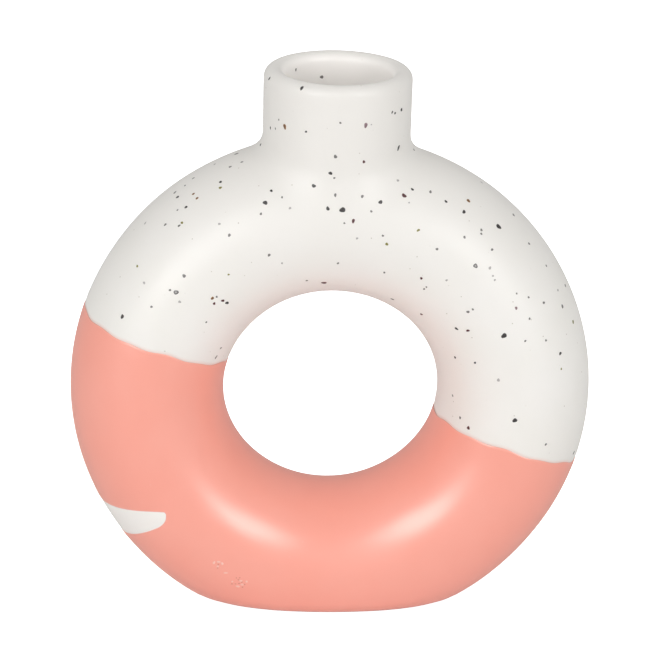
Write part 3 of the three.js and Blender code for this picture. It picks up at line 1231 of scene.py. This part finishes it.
@dataclass(frozen=True)
class DomeShape:
    """Low dome that stands for one mark: a crown point, two rings and a root under the glaze."""

    seed: int = 8
    sides: int = 12
    inner_share: float = 0.78
    rise: float = 0.05 * MM
    sunk: float = 0.015 * MM
    root: float = 0.18 * MM
    shoulder: float = 0.7
    waves: Pair = (0.12, 0.10)
    burst_share: float = 0.5

    def points(self, bed: MarkBed) -> Array:
        """Shapes the domes.

        A ring's radius is the mark's own, times 1 plus two small sine waves round it, stretched
        along the mark and narrowed across it. The outer ring lies just under the glaze.

        Args:
            bed: The marks.

        Returns:
            Points, by mark and by place on the dome.
        """
        dice = np.random.default_rng(self.seed)
        two, three = dice.uniform(0, FULL_TURN, (2, len(bed.radius), 1))
        angle = np.linspace(0, FULL_TURN, self.sides, endpoint=False)[None, :]
        low, high = self.waves
        rough = 1 + low * np.sin(2 * angle + two) + high * np.sin(3 * angle + three)
        size = bed.radius[:, None] * rough
        stretch = np.sqrt(bed.stretch)[:, None]
        length, width = size * np.cos(angle) * stretch, size * np.sin(angle) / stretch
        along, aside = bed.along[:, None], np.cross(bed.normal, bed.along)[:, None]
        ring = length[..., None] * along + width[..., None] * aside
        centre, normal = bed.centre[:, None], bed.normal[:, None]
        return np.concatenate(
            (
                centre + normal * self.rise,
                centre + self.inner_share * ring + normal * self.rise * self.shoulder,
                centre + ring - normal * self.sunk,
                centre - normal * self.root,
            ),
            axis=1,
        )

    def colours(self, bed: MarkBed) -> Array:
        """Colours the points: the core's colour on crown and inner ring, the rim's on the rest.

        A burst bubble, whose rim is far darker than its core, has the rim's on the inner ring too.

        Args:
            bed: The marks.

        Returns:
            Colours, by mark and by place on the dome.
        """
        core_sum, rim_sum = (part.sum(axis=-1, keepdims=True) for part in (bed.core, bed.rim))
        burst = rim_sum < self.burst_share * core_sum
        inner = np.repeat(np.where(burst, bed.rim, bed.core)[:, None], self.sides, axis=1)
        rim = np.repeat(bed.rim[:, None], self.sides + 1, axis=1)
        return np.concatenate((bed.core[:, None], inner, rim), axis=1)

    def faces(self) -> Array:
        """Joins one dome: fans of two sides each at the crown and the root, and a band between.

        Returns:
            Point numbers, four a face.
        """
        first = np.arange(self.sides)
        following = (first + 1) % self.sides
        inner, outer, root = 1, 1 + self.sides, 1 + 2 * self.sides
        band = np.stack((inner + first, outer + first, outer + following, inner + following), axis=-1)
        even = first[::2]
        odd, onward = (even + 1) % self.sides, (even + 2) % self.sides
        crown = np.stack((np.zeros_like(even), inner + even, inner + odd, inner + onward), axis=-1)
        base = np.stack((np.full_like(even, root), outer + onward, outer + odd, outer + even), axis=-1)
        return np.concatenate((crown, band, base))

    def build(self, name: str, bed: MarkBed, slot: Slot, finish: MarkFinish) -> None:
        """Builds all marks of a bed as one piece and dresses it.

        Args:
            name: Name of the piece.
            bed: The marks.
            slot: Material slot of the glaze that they lie in; not used.
            finish: Their finish.
        """
        points = self.points(bed)
        count, size = points.shape[:2]
        faces = self.faces()[None] + (size * np.arange(count))[:, None, None]
        piece = make_piece(name, points.reshape(-1, 3), faces.reshape(-1, 4))
        finish.dress(piece, self.colours(bed).reshape(-1, 3))


@dataclass(frozen=True)
class IronSpecks:
    """Mineral grains that fired through the white glaze."""

    form: VaseForm
    camera: PhotoCamera
    shape: DomeShape = DomeShape()
    seed: int = 7
    hidden_count: int = 150
    radius: float = 0.44 * MM
    spread: float = 0.28
    largest: float = 0.98 * MM
    line_margin: float = 2.0 * MM
    bore_depth: float = 22 * MM
    bore_margin: float = 0.5 * MM
    longest: float = 0.5
    shares: tuple[tuple[Kind, float], ...] = (
        (IRON, 0.28),
        (GREY, 0.40),
        (FAINT, 0.14),
        (MAROON, 0.08),
        (OLIVE, 0.06),
        (RUST, 0.04),
    )

    def strewn(self, coat: Shell) -> MarkBed:
        """Strews grains over the faces that are turned away from the photograph's camera.

        A face is as likely as its area. Radii follow a log-normal law.

        Args:
            coat: Shell of the white coat.

        Returns:
            The strewn grains.
        """
        dice = np.random.default_rng(self.seed)
        faces = coat.faces[: coat.outer_faces]
        a, b, c, d = (coat.points[faces[:, corner]] for corner in range(4))
        cross = np.cross(c - a, d - b)
        middle = (a + b + c + d) / 4
        allowed = coat.edge[faces].min(axis=1) > self.line_margin
        inside = np.hypot(middle[:, 0], middle[:, 1]) < self.form.bore_radius + self.bore_margin
        deep = middle[:, 2] < self.form.lip_height - self.bore_depth
        high = middle[:, 2] > self.form.tube_height
        allowed &= ~(inside & deep & high)
        allowed &= np.sum(cross * (self.camera.place - middle), axis=1) < 0
        weight = np.where(allowed, np.linalg.norm(cross, axis=-1), 0)
        count = self.hidden_count
        pick = dice.choice(len(faces), count, p=weight / weight.sum())
        s, t = dice.random((2, count, 1))
        centre = (1 - s) * ((1 - t) * a[pick] + t * b[pick]) + s * ((1 - t) * d[pick] + t * c[pick])
        normal = unit(cross[pick])
        radius = self.radius * np.exp(self.spread * dice.standard_normal(count))
        kinds, share = zip(*self.shares)
        kind = dice.choice(len(kinds), count, p=share)
        return MarkBed(
            centre=centre,
            normal=normal,
            along=unit(np.cross(normal, dice.standard_normal((count, 3)))),
            radius=np.minimum(radius, self.largest),
            stretch=1 + self.longest * dice.random(count) ** 2,
            core=np.array([one.core for one in kinds])[kind],
            rim=np.array([one.rim for one in kinds])[kind],
        )

    def build(self, coat: Shell, finish: MarkFinish) -> None:
        """Builds the grains that the photograph shows, and others where it doesn't reach.

        Args:
            coat: Shell of the white coat that they sit in.
            finish: Finish of the grains.
        """
        seen = NECK_SPECKS + TOP_SPECKS + LEFT_SPECKS + RIGHT_SPECKS
        bed = MarkBed.read(seen, coat, self.camera).joined(self.strewn(coat))
        self.shape.build("iron_specks", bed, Slot.WHITE, finish)


@dataclass(frozen=True)
class CoralMarks:
    """Two small scuffs of blisters and pits in the coral glaze, at the lower left."""

    camera: PhotoCamera
    shape: DomeShape = DomeShape(rise=0.04 * MM)

    def build(self, dip: Shell, finish: MarkFinish) -> None:
        """Builds the scuffs on the shell of the coral dip and dresses them."""
        bed = MarkBed.read(CORAL_SCUFFS, dip, self.camera)
        self.shape.build("coral_marks", bed, Slot.CORAL, finish)


@dataclass(frozen=True)
class Strewing:
    """How small balls lie in space.

    Attributes:
        scale: Cells a metre.
        limits: Radii, in cells, inside which a ball is full and outside which it is gone.
        rarity: Share of the cells that stay empty.
    """

    scale: float
    limits: Pair
    rarity: float


class Graph:
    """Nodes of one material or node group, added and linked by short calls."""

    def __init__(self, tree: Tree) -> None:
        """Starts on an empty node tree."""
        self.tree = tree
        tree.nodes.clear()

    def add(
        self,
        kind: str,
        inputs: dict[str | int, object] | None = None,
        **settings: object,
    ) -> bpy.types.Node:
        """Adds a node.

        Args:
            kind: Type of the node.
            inputs: Values or linked sockets, by the input's name or number.
            **settings: Properties of the node.

        Returns:
            The node.
        """
        node = self.tree.nodes.new(kind)
        for name, value in settings.items():
            setattr(node, name, value)
        for key, value in (inputs or {}).items():
            if isinstance(value, bpy.types.NodeSocket):
                self.tree.links.new(value, node.inputs[key])
            else:
                node.inputs[key].default_value = value
        return node

    def maths(self, operation: str, first: object, second: object = 0.0) -> Socket:
        """Adds a maths node and returns its result."""
        return self.add("ShaderNodeMath", {0: first, 1: second}, operation=operation).outputs[0]

    def product(self, first: object, second: object) -> Socket:
        """Multiplies two values and returns the result."""
        return self.maths("MULTIPLY", first, second)

    def rest(self, share: object) -> Socket:
        """Takes a share from one and returns the result."""
        return self.maths("SUBTRACT", 1.0, share)

    def between(self, share: object, limits: Pair) -> Socket:
        """Goes from the first limit to the second with a share, and returns the result."""
        low, high = limits
        return self.maths("ADD", self.product(share, high - low), low)

    def fade(self, value: object, limits: Pair) -> Socket:
        """Adds a smooth step from 0 at the first limit to 1 at the second, and returns its result."""
        inputs = {"Value": value, "From Min": limits[0], "From Max": limits[1]}
        return self.add("ShaderNodeMapRange", inputs, interpolation_type="SMOOTHSTEP").outputs[0]

    def blend(self, share: object, first: object, second: object) -> Socket:
        """Adds a mix of two colours and returns its result."""
        inputs = {"Factor": share, MIX_FIRST: first, MIX_SECOND: second}
        return self.add("ShaderNodeMix", inputs, data_type="RGBA").outputs[MIX_RESULT]

    def noise(self, place: object, scale: float, detail: float = 3.0) -> Socket:
        """Adds a noise texture and returns its value."""
        inputs = {"Vector": place, "Scale": scale, "Detail": detail}
        return self.add("ShaderNodeTexNoise", inputs).outputs[0]

    def bump(self, height: Socket, strength: float, depth: float) -> Socket:
        """Adds a bump and returns its normal."""
        inputs = {"Height": height, "Strength": strength, "Distance": depth}
        return self.add("ShaderNodeBump", inputs).outputs[0]

    def balls(self, place: Socket, strewing: Strewing) -> tuple[Socket, Socket]:
        """Strews small soft balls in a few of space's cells.

        Args:
            place: Object coordinates.
            strewing: How they are strewn.

        Returns:
            The balls' mask, and a random number of each cell.
        """
        cells = self.add("ShaderNodeTexVoronoi", {"Vector": place, "Scale": strewing.scale}).outputs
        parts = self.add("ShaderNodeSeparateColor", {"Color": cells["Color"]}).outputs
        ball = self.rest(self.fade(cells["Distance"], strewing.limits))
        filled = self.maths("GREATER_THAN", parts["Red"], strewing.rarity)
        return self.product(ball, filled), parts["Green"]


def rgba(colour: Colour) -> tuple[float, float, float, float]:
    """A colour with full opacity."""
    return (*colour, 1.0)


class SharedGroup:
    """Node group that several finishes use, made at its first use.

    Attributes:
        name: Name of the group.
        inputs: Names of its inputs: the place, and then numbers.
        outputs: Names of its outputs, all numbers.
    """

    name: str
    inputs: tuple[str, ...]
    outputs: tuple[str, ...]

    def fill(self, graph: Graph, given: bpy.types.NodeOutputs) -> tuple[Socket, ...]:
        """Adds the group's nodes and returns what feeds its outputs, in their order."""
        raise NotImplementedError

    def node_tree(self) -> Tree:
        """Makes the group, or finds it once it is there.

        Returns:
            The group.
        """
        if self.name in bpy.data.node_groups:
            return bpy.data.node_groups[self.name]
        tree = bpy.data.node_groups.new(self.name, "ShaderNodeTree")
        for way, sockets in (("INPUT", self.inputs), ("OUTPUT", self.outputs)):
            for socket in sockets:
                kind = "NodeSocketVector" if socket == "Place" else "NodeSocketFloat"
                tree.interface.new_socket(socket, in_out=way, socket_type=kind)
        graph = Graph(tree)
        made = self.fill(graph, graph.add("NodeGroupInput").outputs)
        graph.add("NodeGroupOutput", dict(zip(self.outputs, made)))
        return tree


@dataclass(frozen=True)
class GlazeSkin(SharedGroup):
    """Skin of a satin glaze: a cloudy mask, a soft orange peel and a few pinholes."""

    name = "glaze_skin"
    inputs = ("Place", "Peel", "Pinholes")
    outputs = ("Cloud", "Height", "Pinhole")
    cloud_scale: float = 38.0
    cloud_detail: float = 4.0
    cloud_limits: Pair = (0.3, 0.7)
    peel_detail: float = 2.0
    fine_scale: float = 900.0
    coarse_scale: float = 210.0
    coarse_weight: float = 1.6
    holes: Strewing = Strewing(230.0, (0.02, 0.10), 0.8)

    def fill(self, graph: Graph, given: bpy.types.NodeOutputs) -> tuple[Socket, ...]:
        """Adds clouds, peel and pinholes. The height is that of the peel less the pinholes.

        Args:
            graph: The group's graph.
            given: The group's inputs.

        Returns:
            The clouds, the height and the pinholes.
        """
        place = given["Place"]
        cloud = graph.fade(graph.noise(place, self.cloud_scale, self.cloud_detail), self.cloud_limits)
        fine = graph.noise(place, self.fine_scale, self.peel_detail)
        coarse = graph.noise(place, self.coarse_scale, self.peel_detail)
        peel = graph.maths("ADD", fine, graph.product(coarse, self.coarse_weight))
        pinhole = graph.product(graph.balls(place, self.holes)[0], given["Pinholes"])
        height = graph.maths("SUBTRACT", graph.product(peel, given["Peel"]), pinhole)
        return cloud, height, pinhole


@dataclass(frozen=True)
class FiredGrain(SharedGroup):
    """Grain of bare fired clay: sandy mottle, dark grit and the height of both."""

    name = "fired_grain"
    inputs = ("Place", "Coarseness")
    outputs = ("Sand", "Grit", "Height")
    sand_scale: float = 420.0
    sand_detail: float = 5.0
    grit_scale: float = 780.0
    grit_detail: float = 1.0
    grit_limits: Pair = (0.66, 0.74)
    grit_depth: float = 0.4

    def fill(self, graph: Graph, given: bpy.types.NodeOutputs) -> tuple[Socket, ...]:
        """Adds sand and grit. The height is that of the sand less a share of the grit.

        Args:
            graph: The group's graph.
            given: The group's inputs.

        Returns:
            The sand, the grit and the height.
        """
        size = {0: given["Place"], "Scale": given["Coarseness"]}
        scaled = graph.add("ShaderNodeVectorMath", size, operation="SCALE").outputs[0]
        sand = graph.noise(scaled, self.sand_scale, self.sand_detail)
        grit = graph.fade(graph.noise(scaled, self.grit_scale, self.grit_detail), self.grit_limits)
        height = graph.maths("SUBTRACT", sand, graph.product(grit, self.grit_depth))
        return sand, grit, height


def start_material(name: str) -> tuple[bpy.types.Material, Graph, Socket]:
    """Makes an empty node material.

    Args:
        name: Name of the material.

    Returns:
        The material, its graph and its object coordinates.
    """
    material = bpy.data.materials.new(name)
    material.use_nodes = True
    graph = Graph(material.node_tree)
    place = graph.add("ShaderNodeTexCoord").outputs["Object"]
    return material, graph, place


def end_material(graph: Graph, inputs: dict[str | int, object]) -> None:
    """Adds the shader, with its inputs, and the material's output."""
    shader = graph.add("ShaderNodeBsdfPrincipled", inputs)
    graph.add("ShaderNodeOutputMaterial", {"Surface": shader.outputs[0]})


@dataclass(frozen=True)
class GlazeFinish:
    """Satin glaze: two close tones in clouds, a tinted border, and a skin with peel and pinholes."""

    name: str
    tone: Colour
    cloud_tone: Colour
    border_tone: Colour
    border_width: float
    border_share: float
    roughness: Pair
    peel: float
    pinholes: float
    pinhole_tone: Colour
    bump: float = 0.08
    bump_depth: float = 0.2 * MM
    flecks: float = 0.0
    fleck_strewing: Strewing = Strewing(460.0, (0.05, 0.13), 0.93)
    refraction: float = 1.5
    top_grey_tone: Colour | None = None
    top_grey_height: Pair = (105 * MM, 165 * MM)
    # Painted light: a paler tone in the bore, near the axis and above the ring.
    bore_light_tone: Colour | None = None
    bore_light_radius: Pair = (17.9 * MM, 19.9 * MM)
    bore_light_height: Pair = (150 * MM, 160 * MM)

    def greyed_towards_top(self, graph: Graph, place: Socket, base: Socket) -> Socket:
        """Greys a colour towards the top, by a smooth blend over the height."""
        height = graph.add("ShaderNodeSeparateXYZ", {"Vector": place}).outputs["Z"]
        return graph.blend(graph.fade(height, self.top_grey_height), base, rgba(self.top_grey_tone))

    def painted_bore_light(self, graph: Graph, place: Socket, base: Socket) -> Socket:
        """Paints light into the bore: turns a colour paler near the axis and above the ring.

        Args:
            graph: The material's graph.
            place: Object coordinates.
            base: Colour of the glaze elsewhere.

        Returns:
            The colour with painted light in the bore.
        """
        x, y, z = graph.add("ShaderNodeSeparateXYZ", {"Vector": place}).outputs
        square = graph.maths("ADD", graph.product(x, x), graph.product(y, y))
        inside = graph.rest(graph.fade(graph.maths("SQRT", square), self.bore_light_radius))
        share = graph.product(inside, graph.fade(z, self.bore_light_height))
        return graph.blend(share, base, rgba(self.bore_light_tone))

    def flecked(self, graph: Graph, place: Socket, base: Socket) -> Socket:
        """Lays the finest mineral flecks over a colour.

        Args:
            graph: The material's graph.
            place: Object coordinates.
            base: Colour under the flecks.

        Returns:
            The flecked colour.
        """
        balls, chance = graph.balls(place, self.fleck_strewing)
        fleck = graph.blend(chance, rgba(RUST.core), rgba(OLIVE.core))
        return graph.blend(graph.product(balls, self.flecks), base, fleck)

    def material(self) -> bpy.types.Material:
        """Makes the glaze's material.

        Returns:
            The material.
        """
        material, graph, place = start_material(self.name)
        inputs = {"Place": place, "Peel": self.peel, "Pinholes": self.pinholes}
        skin = graph.add("ShaderNodeGroup", inputs, node_tree=GlazeSkin().node_tree()).outputs
        base = graph.blend(skin["Cloud"], rgba(self.tone), rgba(self.cloud_tone))
        if self.top_grey_tone is not None:
            base = self.greyed_towards_top(graph, place, base)
        edge = graph.add("ShaderNodeAttribute", attribute_name="edge").outputs["Fac"]
        near = graph.rest(graph.fade(edge, (0.0, self.border_width)))
        base = graph.blend(graph.product(near, self.border_share), base, rgba(self.border_tone))
        # Painted light: the bore is made paler than the glaze round it.
        if self.bore_light_tone is not None:
            base = self.painted_bore_light(graph, place, base)
        base = graph.blend(skin["Pinhole"], base, rgba(self.pinhole_tone))
        if self.flecks:
            base = self.flecked(graph, place, base)
        surface = {
            "Base Color": base,
            "Roughness": graph.between(skin["Cloud"], self.roughness),
            "Normal": graph.bump(skin["Height"], self.bump, self.bump_depth),
            "IOR": self.refraction,
        }
        end_material(graph, surface)
        return material

    def dress(self, piece: Piece, edge: Array) -> None:
        """Gives a piece its distances from the glaze's border and this finish.

        Args:
            piece: The glazed piece.
            edge: Distance from the border, one a point.
        """
        mark = piece.data.attributes.new("edge", "FLOAT", "POINT")
        mark.data.foreach_set("value", edge.astype(np.float32))
        piece.data.materials.append(self.material())


@dataclass(frozen=True)
class MarkFinish:
    """Marks in a glaze, coloured point by point, with a mottle in each."""

    name: str
    mottle_tone: Colour
    mottle_share: float
    roughness: Pair = (0.34, 0.5)
    mottle_scale: float = 2600.0
    mottle_limits: Pair = (0.35, 0.75)

    def dress(self, piece: Piece, colours: Array) -> None:
        """Gives a piece its colours and this finish.

        Args:
            piece: The marks.
            colours: One colour a point.
        """
        mark = piece.data.attributes.new("tint", "FLOAT_COLOR", "POINT")
        opaque = np.concatenate((colours, np.ones((len(colours), 1))), axis=1)
        mark.data.foreach_set("color", opaque.astype(np.float32).ravel())
        material, graph, place = start_material(self.name)
        tint = graph.add("ShaderNodeAttribute", attribute_name="tint").outputs["Color"]
        mottle = graph.noise(place, self.mottle_scale)
        share = graph.product(graph.fade(mottle, self.mottle_limits), self.mottle_share)
        base = graph.blend(share, tint, rgba(self.mottle_tone))
        rough = graph.between(mottle, self.roughness)
        end_material(graph, {"Base Color": base, "Roughness": rough})
        piece.data.materials.append(material)


@dataclass(frozen=True)
class ClayFinish:
    """Bare fired stoneware: sandy tones, dark grit and a grainy surface."""

    name: str
    tone: Colour
    sand_tone: Colour
    grit_tone: Colour
    coarseness: float
    roughness: float = 0.86
    bump: float = 0.5
    bump_depth: float = 0.3 * MM

    def material(self) -> bpy.types.Material:
        """Makes the clay's material.

        Returns:
            The material.
        """
        material, graph, place = start_material(self.name)
        inputs = {"Place": place, "Coarseness": self.coarseness}
        grain = graph.add("ShaderNodeGroup", inputs, node_tree=FiredGrain().node_tree()).outputs
        base = graph.blend(grain["Sand"], rgba(self.tone), rgba(self.sand_tone))
        base = graph.blend(grain["Grit"], base, rgba(self.grit_tone))
        normal = graph.bump(grain["Height"], self.bump, self.bump_depth)
        end_material(graph, {"Base Color": base, "Roughness": self.roughness, "Normal": normal})
        return material


@dataclass(frozen=True)
class BareClay:
    """Solids of the frame that stay: the half rings, the collar and the slip in the seams."""

    clay: ClayFinish
    slip: ClayFinish
    clay_nodes: tuple[str, ...] = ("ring_front_half", "ring_back_half", "neck_collar")
    slip_nodes: tuple[str, ...] = ("outer_seam_slip", "inner_seam_slip")

    def dress(self, nodes: dict[str, Piece]) -> None:
        """Gives the solids their finishes.

        Args:
            nodes: Objects of the frame, by name.
        """
        for names, finish in ((self.clay_nodes, self.clay), (self.slip_nodes, self.slip)):
            material = finish.material()
            for name in names:
                nodes[name].material_slots[0].material = material
                LOG.info("%s: dressed in %s", name, finish.name)


class Role(Enum):
    """What a soft light does: flood the vase, or show as a soft card in its gloss."""

    FLOOD = "flood"
    CARD = "card"


@dataclass(frozen=True)
class Softbox:
    """Soft light on a stand, given by its direction from the vase."""

    name: str
    azimuth: float
    elevation: float
    distance: float
    size: Pair
    power: float
    role: Role = Role.FLOOD
    aim: tuple[float, float, float] = (0.0, 0.0, 85 * MM)

    def build(self) -> None:
        """Hangs the light, turned to the vase."""
        data = bpy.data.lights.new(self.name, "AREA")
        data.shape = "RECTANGLE"
        data.size, data.size_y = self.size
        data.energy = self.power
        away = Vector(towards(math.radians(self.azimuth), math.radians(self.elevation)))
        light = bpy.data.objects.new(self.name, data)
        light.location = Vector(self.aim) + away * self.distance
        light.rotation_euler = away.to_track_quat("Z", "Y").to_euler()
        light.visible_diffuse = self.role is Role.FLOOD
        light.visible_glossy = self.role is Role.CARD
        bpy.context.scene.collection.objects.link(light)


@dataclass(frozen=True)
class Studio:
    """Plain pale floor, white surround and soft lights."""

    floor_half: float = 4.0
    floor_tone: Colour = (0.92, 0.92, 0.92)
    floor_paler: float = 1.02
    floor_cloud: float = 3.0
    floor_roughness: float = 0.9
    white: Colour = (1.0, 1.0, 1.0)
    surround: float = 0.435
    lights: tuple[Softbox, ...] = (
        Softbox("left_softbox", -35.0, 21.0, 1.3, (0.55, 0.55), 4.4),
        Softbox("right_softbox", 36.5, 22.0, 1.3, (0.49, 0.53), 3.65),
        Softbox("left_fill", -65.0, 50.0, 1.5, (0.9, 0.7), 2.7),
        Softbox("right_fill", 65.0, 55.0, 1.5, (0.8, 0.8), 2.6),
        Softbox("right_back_fill", 125.0, 45.0, 1.5, (1.0, 0.8), 1.2),
        Softbox("back_fill", -160.0, 36.0, 1.5, (1.6, 0.9), 2.2),
        Softbox("left_card", -36.2, 22.0, 1.3, (0.56, 0.85), 11.8, Role.CARD),
        Softbox("right_card", 38.4, 22.7, 1.3, (0.48, 0.77), 9.5, Role.CARD),
    )

    def build_floor(self) -> None:
        """Lays the floor, which glows for the camera alone and doesn't show in the gloss."""
        mesh = bpy.data.meshes.new("studio_floor")
        half = self.floor_half
        corners = [(-half, -half, 0.0), (half, -half, 0.0), (half, half, 0.0), (-half, half, 0.0)]
        mesh.from_pydata(corners, [], [(0, 1, 2, 3)])
        floor = bpy.data.objects.new("studio_floor", mesh)
        bpy.context.scene.collection.objects.link(floor)
        material, graph, place = start_material("studio_floor")
        tone = rgba(self.floor_tone)
        paler = rgba(tuple(min(1.0, self.floor_paler * part) for part in self.floor_tone))
        surface = {
            "Base Color": graph.blend(graph.noise(place, self.floor_cloud), tone, paler),
            "Roughness": self.floor_roughness,
            "Emission Color": rgba(self.white),
            "Emission Strength": graph.add("ShaderNodeLightPath").outputs["Is Camera Ray"],
        }
        end_material(graph, surface)
        mesh.materials.append(material)
        floor.visible_glossy = False
        floor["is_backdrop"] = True

    def build(self) -> None:
        """Builds the floor, the surround and the lights."""
        self.build_floor()
        world = bpy.data.worlds.new("studio_surround")
        world.use_nodes = True
        ground = world.node_tree.nodes["Background"]
        ground.inputs["Color"].default_value = rgba(self.white)
        ground.inputs["Strength"].default_value = self.surround
        bpy.context.scene.world = world
        for light in self.lights:
            light.build()
        bpy.context.scene.view_settings.view_transform = "Standard"


WHITE_GLAZE = GlazeFinish(
    name="white_satin_glaze",
    tone=(0.84, 0.82, 0.775),
    cloud_tone=(0.855, 0.835, 0.80),
    border_tone=(0.82, 0.62, 0.55),
    border_width=1.4 * MM,
    border_share=0.6,
    roughness=(0.40, 0.50),
    peel=0.5,
    pinholes=0.25,
    pinhole_tone=(0.70, 0.66, 0.60),
    flecks=0.5,
    refraction=1.38,
    # Greyer tone towards the top of the vase.
    top_grey_tone=(0.80, 0.777, 0.738),
    # Painted light in the bore.
    bore_light_tone=(0.975, 0.945, 0.91),
)

PATCH_GLAZE = GlazeFinish(
    name="patch_satin_glaze",
    tone=(0.88, 0.86, 0.82),
    cloud_tone=(0.89, 0.875, 0.84),
    border_tone=(0.80, 0.65, 0.57),
    border_width=0.6 * MM,
    border_share=0.4,
    roughness=(0.40, 0.50),
    peel=0.5,
    pinholes=0.2,
    pinhole_tone=(0.70, 0.66, 0.60),
    refraction=1.38,
)

CORAL_GLAZE = GlazeFinish(
    name="coral_satin_glaze",
    tone=(0.945, 0.372, 0.29),
    cloud_tone=(0.95, 0.39, 0.308),
    border_tone=(0.94, 0.43, 0.35),
    border_width=1.0 * MM,
    border_share=0.5,
    roughness=(0.32, 0.36),
    peel=0.3,
    pinholes=0.25,
    pinhole_tone=(0.94, 0.50, 0.42),
    refraction=1.6,
)

LINER_GLAZE = GlazeFinish(
    name="liner_satin_glaze",
    tone=(0.85, 0.82, 0.77),
    cloud_tone=(0.88, 0.855, 0.81),
    border_tone=(0.85, 0.82, 0.77),
    border_width=1.0 * MM,
    border_share=0.0,
    roughness=(0.36, 0.46),
    peel=0.6,
    pinholes=0.5,
    pinhole_tone=(0.62, 0.56, 0.48),
)

IRON_SPECK = MarkFinish(name="iron_speck", mottle_tone=(0.30, 0.24, 0.20), mottle_share=0.16)

CORAL_BLISTER = MarkFinish(
    name="coral_blister",
    mottle_tone=(0.92, 0.42, 0.34),
    mottle_share=0.3,
    roughness=(0.28, 0.36),
)

STONEWARE = ClayFinish(
    name="bare_stoneware",
    tone=(0.60, 0.51, 0.40),
    sand_tone=(0.76, 0.67, 0.55),
    grit_tone=(0.30, 0.22, 0.16),
    coarseness=1.0,
)

SLIP = ClayFinish(
    name="fired_slip",
    tone=(0.53, 0.44, 0.34),
    sand_tone=(0.66, 0.57, 0.45),
    grit_tone=(0.34, 0.26, 0.19),
    coarseness=1.8,
)


def main() -> None:
    """Builds the vase's pieces in order and dresses them."""
    logging.basicConfig(level=logging.INFO, format="%(message)s")
    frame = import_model()
    low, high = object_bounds()
    camera = PhotoCamera()
    camera.build()
    Studio().build()
    form = VaseForm.from_box(low, high)
    line = DipLine()
    moon = HalfMoon()
    BareClay(STONEWARE, SLIP).dress(frame["nodes"])
    LinerGlaze(form).build(LINER_GLAZE)
    coat = WhiteCoat(form, line).build(WHITE_GLAZE)
    dip = CoralDip(form, line, moon).build(CORAL_GLAZE)
    MoonPatch(form, moon).build(PATCH_GLAZE)
    IronSpecks(form, camera).build(coat, IRON_SPECK)
    CoralMarks(camera).build(dip, CORAL_BLISTER)


if __name__ == "__main__":
    main()
